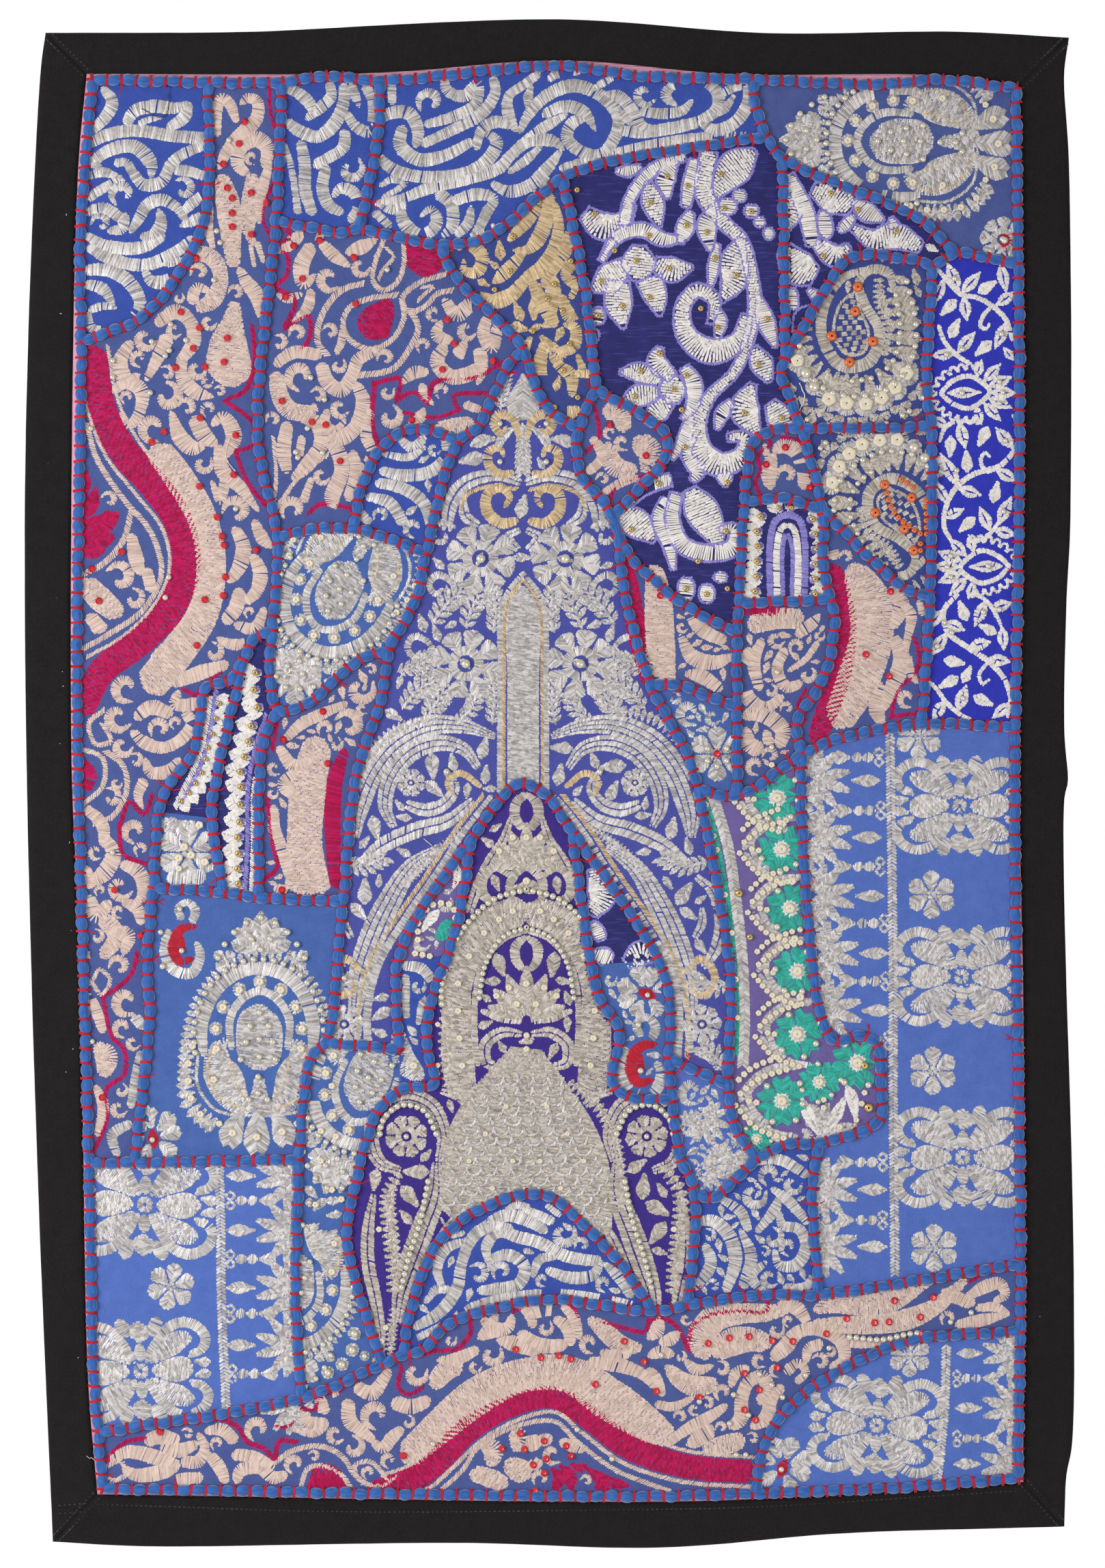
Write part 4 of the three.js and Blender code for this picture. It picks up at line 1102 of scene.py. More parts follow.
BEAD_ARC = """
moti ringed -80,38,20 46,56,22 26,6 28,1 23,-9 20,-15 17,-21
bead ringed -68,56,15 12,20
tan fan -92,70,3 -14,14,13|-80,90,3 -8,22,13|-56,108,3 -4,22,13|-26,118,3 -4,20,13|8,122,3
  0,20,13|40,116,3 4,20,13|70,102,3 8,20,13|92,80,3 16,14,13
bead dots -106,76,8 14,28 26,20 30,8 38,4 12,0 24,-4 12,-2 24,-12 10,-6 20,-20
"""
many(BEAD_SPRAY, "1246,492,0,1 66,250,150,0.95")
many(BEAD_ARC, "1248,490,0,1 58,248,165,0.95")
worked("""
seed beads 1299,722,9 5,18 14,20 18,14 16,10|1320,702 22,14|1356,732 1,52|1348,796 0,16
""")

# The vivid blue strip, embroidered in white floss with a waving vine. Its leaves are split by a
# slit, and its two flowers have pointed petals on one side and small loops on the other.


def split(thread, knots):
    """An open leaf from its first point to its second: two satin columns that bow to either side
    of a slit by 0.3 of its width."""
    base, tip, wide = knots[0, :2], knots[1, :2], knots[0, 2]
    aside = np.array([tip[1] - base[1], base[0] - tip[0]]) / np.hypot(*(tip - base)) * wide * 0.3
    for hand in (-1, 1):
        middle = base * 0.55 + tip * 0.45 + hand * aside
        satin(thread, np.array([(*base, wide * 0.22), (*middle, wide * 0.44), (*tip, wide * 0.16)]))


def loops(thread, knots):
    """Small open loops side by side along the left of a line, each as wide as the line there."""
    line = drawn(knots, knots[:, 2].mean())
    angle = np.linspace(0, np.pi, 5)
    for (x, y, wide), across, along in zip(line, *axes_of(line)):
        reach = np.outer(np.cos(angle), along * 0.44) + np.outer(np.sin(angle), across * 0.8)
        satin(thread, np.column_stack([reach * wide + [x, y], np.full(5, wide * 0.36)]), 2.0)


WAYS |= {"split": split, "loops": loops}
VINE_FLOWER = """
white satin -84,2,11 28,-28,12 38,-12 32,16 18,20 -18,22 -32,18 -38,-12 -28,-24,11
white split -66,2,26 76,-2|36,0,28 56,2|30,-14 52,-22|30,14 52,22
white split 18,-26,26 38,-40|18,26 38,40|0,-36,22 12,-38|0,36 12,38
white loops 4,58,19 -40,-2 -32,-14 -22,-24 0,-28 22,-26 32,-14 40,-4
bead dots -34,2,13 96,-2,12 -8,-24 0,50
"""
many(VINE_FLOWER, "1430,574,0,0.625 -4,256,180,0.625")
worked("""
white satin 36,28,10 26,30,11 36,38,12 42,10 40,24 28,32 12,43,10
white satin 168,128,9 -18,22,10 -4,22 14,6,8 6,-12,6|48,170,10 12,35,11 28,33,12 30,20,10
white satin 132,396,9 -40,-2,10 -30,16,11 -12,32,8
white satin 222,380,9 14,32,10 -8,44,12 -36,42,13 -60,20 -42,30 -24,44,12 -6,48,11 20,40,10
white satin 192,500,10 -32,12 -14,-26 10,-18,9 12,10,7
white satin 118,676,9 32,-4,10 26,-24 20,-26,8|128,798,9 32,18,10 26,40 10,24,7
white satin 92,800,10 -32,38,12 8,50 50,38,13 46,32 38,42,12 14,50,11 -8,38,9
white satin 160,962,9 -18,26,10 8,22,9 16,-10,6|24,1004,9 20,20,10 18,26,11 30,28,10 30,16,9
white split 94,88,30 -26,-64|102,94,28 42,-48|106,104 8,54|60,62,26 -24,58
white split 184,122,26 42,-30|206,164,28 -26,60|192,24 14,68|84,236,26 -52,4
white split 92,234,28 40,-48|96,396 14,62|68,406,24 -38,-22|222,456,30 -40,-46
white split 184,508,28 46,26|94,546,30 -42,-76|70,588,26 -36,-58|96,552,28 50,16
white split 188,634,30 30,-62|168,650,28 -24,-54|180,650 48,12|64,620,24 42,-20
white split 58,838,26 -38,42|66,866,28 42,18|66,892 -36,52|158,816 -26,58
white split 172,834,28 48,-14|196,878,26 4,52|122,922,28 46,-10|164,952 50,6
white split 60,1052,28 -26,40|92,1072,30 20,-58|214,1056,26 -40,34|222,250,20 -22,-28
bead dots 85,60,13 18,166 -37,12 129,-48 -105,320,12 -30,356,13 18,24 -34,32 108,-80
bead dots 200,606,12 4,-166 -100,604 86,-208
""", (1345, 370, 0, 0.625))

# The lower left: the foliage of the peach scrap, the rows of white leaves in floss, the beaded
# and silver flowers, and two scraps of a sari border with silver butterflies.

worked("""
peach satin 252,1002,14 38,-16,22 44,-14,14|262,1012,10 -6,18,17 28,1,19 28,-11,7|198,1052,14
  22,-16,22 32,10,17|193,1070,10 17,16,19 26,9,17 26,-10 19,-25,19 -11,-18,14|213,1110,7 7,20,17
  25,0,19 19,-18,12|212,1142,17 -10,23,14 7,19,5|124,1182,14 26,26,19 2,32,14|126,1268 6,32,19|
  150,1222,14 16,28,22 -16,31,24 -22,11,12|178,1264,14 27,16,22 4,30,17 -15,18,7|130,1312,19
  11,28,24 21,-20,14|150,1342,24 20,29,26 -22,31,17|180,1320,12 21,11,19 5,23,12|160,1362,17
  26,9,24 -6,27,8|125,1392,12 5,50|130,1456 11,24,17 10,32,12|138,1528 17,18,34 -5,32,17|
  140,1590,10 11,30,17 -9,44,10
peach rope 152,1040,7 -22,20 11,30 21,-5 -12,-25,6|118,1096,7 32,14 1,40 -27,26|155,1100,8 25,21
  6,34 -21,40 -27,11|134,1438,6 14,18 13,-20 -15,-16 -12,18
magenta rope 268,1008,7 18,10 15,-18 23,-16|201,1395 -11,35 -40,31|150,1461 15,59 16,16 1,36
  -27,24 1,44 -18,44|216,1266 -36,-16 -5,-40|175,1210 15,-36 20,18 13,-28
magenta satin 122,1114,12 9,22,22 -5,22,12
stone dots 168,1303,9 38,67 -56,237
bead dots 165,1248,8 -30,277
silver satin 196,1488,18 14,18,14|206,1540,12 -8,40,14 -7,42,12|172,1692 -8,-30,16 28,-17,14
white rope 308,1010,8 -6,50 -13,52 -33,70|399,1046 -18,62 -9,52 -1,80 -3,70
lilac rope 316,1010,7 -6,52 -13,52 -33,66|390,1046 -18,56 -9,53 -1,85 -4,68
peach satin 508,1030,10 -38,16,17 -30,15 -22,21,12|408,1094,14 22,27,19 32,-11,10|432,1130,14
  -17,20,19 17,18,12|468,1078,40 -16,72,54 -6,80,52 6,82,70|401,1180,14 1,35,19 13,35 11,36,17|
  402,1300,14 40,12,22
magenta satin 506,1098,14 -16,47,24 -3,75 6,80,20
magenta rope 391,1168,7 9,72 6,30 -18,17|406,1058 -8,40
stone dots 473,1042,9 -58,41 65,35 -67,185
""")
LEAF_TUFT = """
white leaf 10,2,5 -14,-3,22 -16,-5,4|8,8 -10,4,12 -12,2,4
lilac satin 2,-4,12 6,6
brass dots 2,0,10
"""
many(LEAF_TUFT, "323,1030,180,0.8 -5,22 -5,23,190,0.8 -7,20 -3,17,200,0.8 -6,20 -9,16,210,0.8 "
     "-10,14,215,0.8 -12,12,220,0.8 106,-189,0,1 -2,25 5,26 -9,27 -4,23 -6,22 -6,22 1,22 -1,26 "
     "-1,26 -3,22 1,24 -1,22 1,22")
PETAL_RING = """
silver leaf 0,-8,10 0,-14,26 0,-14,8|8,-4,10 12,-7,26 12,-7,8|8,4,10 12,7,26 12,7,8|0,8,10 0,14,26
  0,14,8|-8,4,10 -12,7,26 -12,7,8|-8,-4,10 -12,-7,26 -12,-7,8
silver satin 5,0,6 -5,5 -5,-5 5,-5 5,5
"""
many(PETAL_RING, "275,1248,0,1.15 -25,636,12,0.9")
worked("""
silver satin 240,1200,20 22,15,30 28,-3,22|245,1285,20 55,-1,24
moti dots 270,1240,12 10,12 -18,4 30,-48 8,54 -38,10,10
""")
many(BEADED_BUTA, "376,1512,0,0.98")
BUTTERFLY = """
silver satin 68,22,6 14,2,12 8,14,14 -8,16 -20,9 -20,-5 -16,-16,13 -12,-18,11 -6,-12,8
silver satin 12,10,8 14,12,20 18,12,30 18,6,22 10,-2,8
silver satin 14,0,10 18,0,26 22,0,34 18,0,18
silver leaf 74,10,5 10,-2,14 10,0,4|66,16,5 8,4,10 8,0,4
silver satin 0,14,8 0,10,16 0,12,10|0,40,16 0,7,25 0,10 0,9,18|15,48,13 5,8,18 4,8 2,7,12
silver satin 0,7,8 5,-2 2,-5
"""
SPRAY_FAN = """
silver leaf 10,-6,7 -12,-18,16 -8,-20,6|4,-2,7 -20,-18,16 -16,-18,6|0,0,7 -28,-7,16 -24,-8,6|0,4,7
  -28,5,16 -24,5,6|4,6,7 -20,17,16 -14,17,6|10,8,7 -14,20,16 -6,18,6|-56,0,4 -20,0,18 -22,0,3
silver satin 22,-44,7 -14,4,10 -4,12 8,10 10,2,7|22,44 -14,-4,10 -4,-12 8,-10 10,-2,7|26,-8,8
  -8,8,12 8,8,8
"""
CURLS = """
silver satin -5,-1,4 6,6 -6,6 -6,-6 6,-6|-5,13 6,6 -6,6 -6,-6 6,-6|3,12,7 7,0,15 9,0,7|21,12,10
  6,0,15 7,0,9
silver leaf 38,12,6 12,0,20 10,0,6
"""
many(BUTTERFLY, "212,1764,2,1.12 -6,244,-3,1.08", True)
many(SPRAY_FAN, "428,1802,0,0.98 0,84 0,84 0,-248 4,332")
many(CURLS, "342,1746,0,1 0,86 0,80 3,88")
worked("""
silver chain 321,1708,13 2,92 1,100 4,100 3,64
""")

# The lower left foot: more of the peach scrap, which runs into the wavy band along the bottom.
# It is worked in the same floss, with silver beads and red stones.

worked("""
magenta rope 146,2160,7 16,-30 23,-18 29,-6|290,2084,8 30,-6 30,14 12,20 22,8 18,18|402,2138 8,-28
  24,2|404,2088,7 16,2 12,-8|440,2062 20,2 12,-20 28,-8|588,2000 -4,32 16,10 20,-12
peach satin 212,2112,17 20,-8,22 30,6,17|236,2118,19 26,6,22 28,-10,12|160,2135,14 30,-9,19
  36,8,22 36,14,17|180,2150,10 20,10,19 40,-5,22 22,-7,10|266,2140,17 24,0,19 10,-20,14
  -10,-20,10|300,2096 25,-2,19 20,18,17|306,2130 16,20,19 8,22,14|340,2130,17 32,4,19 28,16,17|
  345,2172,12 7,-18,19 28,-4 20,14 20,-4,14|240,2178,12 22,-10,19 34,-4,17|430,2094,7 30,4,14
  18,-12,12|440,2068 12,16,22 28,2,19|476,2070,17 -6,-24,19 26,-10,17|520,2030 25,10,22 15,-18,17
  10,-16,14|556,2000,10 -8,-10|575,2052,22 25,8 30,-10,17|510,2050,19 2,30,22 18,16,17 18,14,12|
  545,2110,10 15,10,17 15,-16,19 15,-12,12
peach rope 150,2150,7 26,-10 8,18 -18,10 -16,-10|402,2142,8 28,-18 40,-6 30,14 20,28 14,12|
  440,2180,7 10,-28 20,-6 30,14 12,16|522,2162 -2,-16 20,-6 16,12 10,14|532,2172 28,4 20,-14
magenta satin 455,2166,24 20,-6,36 25,10,24|452,2178,16 18,-8,20 35,6,16
stone dots 234,2097,9 356,34
""")

# The middle: a neck yoke of silver on violet-blue, and an arched panel on deep violet. Each is
# worked as one half and its mirror image, from rosettes, leaf sprigs, curls and filled bands.

YOKE_HALF = """
silver leaf 0,548,6 2,34,44 0,30,10|42,642,6 16,2,18 18,8,4|14,626,6 16,14,14 10,18,4
silver sprig 0,690,14 0,-22,16 0,-22,14 0,-24,12|24,552,10 6,22,14 4,22
gold satin 4,642,10 12,-29,13 18,-7,14 9,16,13 -12,13,10 -7,-11,6|14,692,10 18,3,14 18,-14
  0,-20,13 -16,-5,10 -6,12,6|8,762,12 24,4,16 21,-18,17 -1,-25,15 -20,-9,13 -12,14,10 7,14,7
silver plume 4,706,12 36,-10,18 42,10,24 24,30,26 6,40,16|66,768,10 18,-12,18 4,-26,10|6,776
  16,10,14 -14,18,12
silver satin 100,772,6 18,-8,9 14,12,10 -5,16,9 -13,0,8 0,-11,5|98,866,6 12,-18,9 16,-6,11
  12,14,10 -10,14,8 -10,-8,5|128,956,6 14,-18,9 18,-6,11 10,16,10 -12,15,8 -8,-10,5
silver rose 62,818,100|84,972,98|164,1146,40|262,1500,56
silver sprig 44,870,18 -4,26,20 4,28,16|66,874,20 12,24,22 6,20,16|92,866,22 22,20,24 18,26,18|
  128,996,22 26,14,24 22,26,16|118,1014,22 16,26,24 12,22,14|44,1002,16 -2,28,18 4,28,14|
  70,1022,18 10,20 18,14,12|134,964,18 24,12,20 24,6,12
silver plume 42,1078,10 42,-14,22 50,-2,32 50,22,38 38,44,40 22,58,36 2,40,14|66,1124,12 22,-28,20
  38,-8,26 40,16,28 28,36,26 8,40,22 -12,30,12|112,1130,10 -12,22,16 14,24,20 28,10,22 28,-8,16|
  74,1172,12 36,30,22 48,14,26 48,22,24 32,24,12
silver frill 130,1046,14 60,16,18 50,48,20 26,60 4,52,16|92,1212,10 48,38,14 40,40
silver plume 122,1240,10 42,30,26 32,50,36 26,56,40 18,56,34 6,48,20|254,1284,10 24,22,18 12,40,22
  -8,44,20 -18,26,12|262,1330,8 0,22,14 -10,20,10
silver sprig 206,1256,18 30,12,20 32,-6,14|252,1436,16 26,12,20 18,-8,14|262,1534,18 20,14,20
  10,18,14
silver satin 0,838,6 28,42,9 5,120 1,162|46,1166 38,48,10 44,68,12 44,63 40,67 16,68 -2,70|
  240,1500,9 6,40,10
gold rope 0,848,5 23,36,6 5,116 1,160|58,1164,7 40,50 44,68 44,63 40,67 15,68 -1,68|10,716,6 40,-4
  32,12 10,22
gold satin 62,1152,8 30,-20,10 18,12 -6,20,8|236,1424,9 26,-20,12 19,26 -13,27 -21,-7,10 2,-16,6
silver satin 0,854,8 0,36,44 0,110,46 0,165
bead dots 34,620,8 0,56 228,756 -150,-302,9
"""
for half in ((0, 1), (180, -1)):
    worked(YOKE_HALF, (766, 0, *half), patch_names.index("yoke"))
PANEL_HALF = """
tan satin 0,1162,10 15,14,15 2,20 -12,18,12|22,1284,8 24,-14,12 18,18,14 -2,24 -18,10,10|0,1268
  19,14,14 6,22,12 -6,18,8|0,1372 15,12,14 1,20 -10,16,10|8,1496,8 32,-6,12 26,-10,7
tan fan 0,1276,7 0,-70,18|0,1496,7 0,-80,20
tan plume 22,1196,8 12,34,14 20,32,18 18,38 12,36,14|8,1514,10 28,-2,18 24,18,20 -2,26,18
  -18,6,12|86,1618 18,-14,14 20,-6,10
tan satin 0,1332,44 42,14,46 40,42 18,52,42 2,60,44 -2,60,48 -8,50,40
tan satin 0,1326,12 48,8 48,40 24,50 4,50|0,1362,9 32,12 30,34 12,42 2,60 -4,50
tan frill 124,1470,18 4,30,24 0,40 -6,50,18
tan satin 0,1506,40 0,54,90 0,60,180 0,60,236 0,55,250 0,45 0,60
silver scales 0,1580,90 0,40,150 0,60,205 0,55,226 0,65
tan frill 60,1592,14 32,28,18 26,44 10,56 0,50
tan rose 176,1664,60
tan plume 128,1700,12 -6,-40,22 18,-40,26 38,-14,28 36,22,30 14,40,26 -14,34,20 -28,12,12
tan plume 132,1704,14 2,46,30 18,50,36 18,50 14,44,28 6,42,14
tan frill 196,1716,16 18,34,22 -2,50,24 -6,50,22 -2,40,18|200,1918,14 6,32,16 0,40,12
tan plume 224,1750,10 8,50,20 0,50,22 -10,50,20 -8,50,16 -2,40,10|104,1780,8 20,32,16 16,38,20
  10,40,18 14,40,12
tan sprig 132,1846,14 8,44,18 18,36,14
bead beads 0,1302,9 50,16 52,56 22,66 0,34|0,1358,8 34,14 26,40 10,54|132,1660,9 18,-34 34,-8
  26,22 6,28|144,1730 12,60 16,50 12,50
moti dots 0,1290,11 20,-64,10 20,20 -40,-20 0,214 26,6 18,12 -30,12 70,-70 16,40 0,40 -2,40 -4,40
  -54,-214 -20,-12 42,32 68,134,8 0,60 76,384,9 6,20 4,-164 -216,-284 0,20 30,84,8 30,40 -40,40
  64,0 -34,40
"""
for half in ((0, 1), (180, -1)):
    worked(PANEL_HALF, (771, 0, *half), patch_names.index("arch_panel"))

# The small scraps round the yoke: peach, magenta and gold pieces, a beaded paisley, and bits of
# white, silver and red.

RED_PAISLEY = """
red satin 21,-28,7 -21,3,14 -14,24,16 10,24,14 20,-4,8|0,-13 0,20,12
silver satin -19,-23,12 -7,32,14 14,26,16 26,5 13,-25,14 -5,-20,10|0,-39,12 -6,-16,10 15,-9
  11,14,14 -6,15,12
bead dots -3,-54,8 -28,34 3,50,9 28,-23,8
"""
DROP_FLOWER = """
silver leaf -1,-14,10 -4,-14,26 2,-14,10|9,-10 11,-12,26 7,-11,10|13,-1 13,-4,24 13,-4,10|11,9
  11,9,24 8,8,10|-11,-10 -11,-9,24 -9,-8,10|-13,1 -13,1,24 -11,1,10|-5,12 -5,12,22 -8,10,8
red satin 0,-11,8 1,14,17 2,14,4
bead dots 0,4,8
"""
many(RED_PAISLEY, "266,1385,0,1 672,175,0,1.1")
many(DROP_FLOWER, "223,1665,0,1 722,-210,-60,0.95 201,693,30,1")
many(PETAL_RING, "432,992,0,1.1")
many(BEADED_BUTA, "540,1588,200,0.95 -108,296,180,0.9")
worked("""
magenta satin 912,800,12 10,62,28 12,74 12,66,14
peach satin 958,826,23 6,54,40 4,124,44|1000,880,9 26,40,21 36,20,16|996,930,9 18,32,23 32,8,21
  28,-10,9|1002,986 24,4,21 30,20,16|884,602,25 22,0,30 8,30,21|932,640,28 20,24,38 -8,30,18|
  890,648 10,34,30 32,8,18|868,640,14 14,28,16 -22,24,12|882,722,10 38,-20,14 16,-2,9
magenta rope 872,598,7 5,42 -19,22|892,742 8,-28 46,-18 26,-6
stone dots 893,622,9 53,45 21,205
gold satin 660,366,8 24,-10,18 22,20,20 -8,22,18 -18,-2,12 -1,-16,6|794,286,10 -14,26,20 -24,28,16
  -12,12,8|806,280,14 -6,40,22 -14,32 -16,14,14 -18,0,8|812,296,10 6,34,16 -6,32,20 -16,28,24
  -26,18,16 -18,32,8|836,330,10 -8,34,22 -18,28,20 -14,28,14|836,346,12 2,34,20 -10,24,14 18,20,8|
  704,428,6 18,12,22 26,-8 24,-26,16|722,414,8 14,-12,20 16,-16,18 16,-20,12|800,280 -10,20,10|
  776,404 12,28,20 12,20,24 12,26,14|812,404,10 -2,24,24 -4,32,16|790,416,10 -6,24,14 -8,10,6|
  822,432,12 12,30,20 12,4,6|836,436,10 6,-16 -4,-16,8|826,474 16,6,16 -2,26,18 -22,8,14 -8,-12,8|
  798,500,14 -8,40,22 10,40 24,24 26,-4,14|806,518,10 14,18,16 16,14,20 2,30,10|846,520,8 6,24,12
  -16,4,8|848,548,10 18,0,14 6,22,12 -10,20,8|814,508 10,14,10 -12,2,6
gold leaf 782,468,6 0,-14,18 2,-10,6|794,478 12,-6,18 10,-4,6|792,492 10,12,18 6,10,6|778,494
  -8,12,16 -4,8,6|772,482 -12,-2,18 -12,-2,6
brass dots 752,346,9 -5,51 -23,27 65,-128 47,86 -24,34 -10,22 22,17 -44,30 54,18 -9,39 -13,54
  34,-14
""")
worked("""
moti beads 612,1376,10 2,-30 22,-22 26,2 6,24|608,1396 32,6,9
teal satin 636,1374,8 16,-10,26 12,-14,20
white leaf 618,1364,5 12,-18,16 12,-12,4|664,1300,5 6,-16,14 -2,-20,4
silver satin 590,1414,14 26,4,16 22,24,14|594,1428,12 0,62|612,1500,8 8,-30,14 16,-16,10|
  582,1508,18 12,48,34 24,24,20|632,1502,10 -6,38,14 16,40,10
moti dots 486,1590,10 -16,66 22,8 -22,36 16,42 -24,22 38,-8 106,-196,12
white edged 870,1272,18 11,36,40 -13,32,14|868,1350,12 14,26,20|868,1396,16 28,8,28|918,1412,16
  22,-16,34 22,6,12
""")
many(SPRAY_FAN, "1072,1690,-70,0.8 -62,-40,150,0.5")

# The lower right: scraps of a cornflower sari border with silver butterfly flowers, a grey-violet
# scrap with teal flowers, and the peach and magenta pieces between them.

many(BUTTERFLY, "1405,1180,0,1.02 3,250,0,1.04 2,265,0,1.06 -126,393,4,1.04", True)
many(PETAL_RING, "1364,1310,0,0.92 2,258 2,260 -23,-750,0,0.9 -13,908,0,0.8")
many(SPRAY_FAN, "1192,1143,180,0.98 2,83 4,86 6,84 4,84 -6,182 0,80 0,84 284,156,0,0.85 "
     "2,80,0,0.9 -2,82 -454,-504,210,0.7 4,76,180,0.6")
many(CURLS, "1282,1121,180,1 3,78 -1,82 6,83 2,85 4,87 -8,178 0,85 0,83 118,126,0,0.9 0,88")
TEAL_FLOWER = """
teal leaf 0,-10,14 0,-10,28 0,-11,20|8,-6,14 8,-5,28 10,-6,20|9,5,14 8,4,28 10,6,20|1,10,14
  0,10,28 0,11,20|-8,6,14 -8,5,28 -10,6,20|-9,-5,14 -8,-4,28 -10,-6,20
white satin 0,-10,7 8,4 2,10 -7,6 -9,-1 -4,-8 3,-8 7,-3
moti dots 0,0,15
bead dots -22,-22,9 48,-4 4,30 -44,26 34,-2
"""
NESTED_ARCH = """
moti beads 6,-42,9 -36,12 -32,26|-62,6 28,30 38,14|-6,-58 -34,14 -20,18
silver satin 22,-46,9 -36,4,12 -30,22 -12,20,8|-54,6 14,20,12 30,18 30,4,8|-24,-30,6 -20,18,9 8,28
  18,14,6
moti dots -44,0,9 10,2
"""
many(NESTED_ARCH, "1138,1168,0,1 7,75 12,87 9,92 2,90 -23,100,0,1.1")
many(TEAL_FLOWER, "1138,1168,0,1 7,75,40,1 12,87,10,1 11,92,70,1 0,92,20,1 -23,98,0,1 "
     "55,-28,40,0.85 56,-28,10,1.05 -148,112,0,0.7")
many(PETAL_RING, "1050,1104,0,1.05")
worked("""
silver chain 1303,1060,13 2,140 3,200 0,200 3,266|1386,1972 -2,78 -6,70 -6,50
silver leaf 1042,1160,16 24,80 12,80 10,100 2,80 -2,60
teal satin 1028,1160,9 18,58 14,72 11,70 7,80 2,60 -2,45
moti dots 1034,1178,9 11,46 5,20 12,66 10,56 6,68 2,56 50,-370 16,86,12 14,84 4,85 8,85 34,150,9
  0,12 60,-22 -4,16 -8,24 -24,10
brass dots 1082,1308,12 16,64,10 -33,210,12 201,-22 6,62,14
white leaf 1200,1662,6 -14,-26,18 -12,-28,4|1206,1664,6 16,-26,18 16,-32,4|1254,1640,6 -6,-30,18
  -8,-20,4|1130,1664,6 14,6,14 16,2,4|1210,1668,6 16,-8,14 20,-2,4
stone dots 1050,1104,10
bead dots 1036,1096,9 28,0 -28,18 28,0 -14,8
silver satin 1055,1755,10 30,20,16 11,27,12|1130,1740,8 22,16,16 32,36,12|1108,1804,10 27,-34,16
  6,-18,8|1012,1792,10 32,-4,18 24,22,20 9,36 -15,46,14|1032,1822,12 9,28,18 -23,38,12|1134,1830,8
  7,22,14 24,1,18 16,-28 -11,-25,16 -24,-6,14 -5,-20,8|1122,1848 -22,22,16 20,24,10|1198,1858,12
  -18,26,14 -32,2,12|1098,1704,8 42,-6,16 44,24,14|1084,1800,8 16,40,18 -12,46,16
silver satin 606,1944,12 34,-19,18 28,-35 8,-40,16 14,-35,18 26,-19 34,4,14|650,1890,8 -10,-30,14
  12,-30,16 28,-12,10|622,1908,8 18,-20,14 20,2,12|610,1960,10 40,-20,12 50,-30 60,-13 60,-3
  60,8,14 65,14|700,1890,12 25,-2,18 35,-8 8,-25 -23,-17 -25,7,12 -4,15,6|716,1852,8 -4,-27,16
  18,-20 30,7,18 30,8 40,20 50,8,16|700,1800,10 40,-20,18 40,10,20 20,15,12|740,1775,8 15,-10,12
  20,5|765,1770,8 25,10,14 20,10|650,1812,10 30,-6,8|780,1870 10,-25,14 25,-5,10|800,1860,12
  40,12,18 30,-6,16 10,-20,10|885,1850,8 20,20,16 20,30,12|880,1790,10 -20,10,12 20,20|800,1765,8
  20,15,10
peach satin 1204,752,10 8,38,24 10,28,19|1246,824,30 26,52,62 4,54,64 -22,70,62 -32,64,44|
  1304,860,17 16,24,24 -14,36,14|1318,880,10 16,20,17 -4,30,12 -8,40,10|1306,930,17 14,30,24
  -10,40 -20,40,14|1290,1000 -6,40,24 8,22,10|1330,960 6,30,12 8,10,5|1346,880,10 6,20,12
peach satin 1096,915,29 40,-9,31 40,0,29|1100,950,17 -14,30,24 8,40,22 26,16,17 26,-16,14|
  1116,936,12 -12,34,19 8,40,14|1150,950 -12,30,17 14,26 22,-6,12|1198,940,10 -18,25 -25,17,7|
  1166,930,14 24,-18,17 10,-12,7|1088,1050,14 16,-6,22 24,8,24 18,18 -6,24,17|1092,1066,14 6,24,24
  18,10,22|1122,1070,12 4,20,19
magenta satin 1218,826,24 16,54,34 6,50,30 -8,60 -20,50,34 -20,50,24|1085,892,18 55,0,20 65,-6,12
magenta rope 1340,935,7 6,25 -8,30 -22,18 -12,42|1304,1050 26,-4 18,-2|1180,1010 -12,26 10,20
  -22,8
stone dots 1268,958,9 34,32 2,-124
bead dots 1138,984,8 -8,110
peach satin 1132,660,12 18,-8,24 18,10 10,28 -2,26,14|1134,664,12 -8,26,24 2,26,14|1120,650,7
  4,20,12
magenta rope 1120,634,7 8,16 -18,15 4,25 -8,15 6,17|1144,640 32,8 8,22 2,30
stone dots 1150,655,9 -28,25 64,34
lilac satin 1128,876,10 0,-86 8,-28 16,-8 18,6 8,25 0,91|1146,874,7 0,-74 4,-18|1160,874 0,-74
  -6,-18
white satin 1138,876,10 0,-76 6,-26,9 8,-6,8|1168,876,10 0,-76 -6,-26,9 -8,-6,8
""")
many(LEAF_TUFT, "1112,756,0,0.95 -6,22 2,22 -2,22 0,22 -2,22 88,-106,180,0.95 4,22 2,22 -2,22 "
     "0,22 0,22 -56,-128,60,0.8 20,0,120,0.8")

# The wavy band along the bottom, a scrap of the same peach sari edge: a magenta and a peach band
# in brick fill, and foliage on both sides of them, set with red stones.

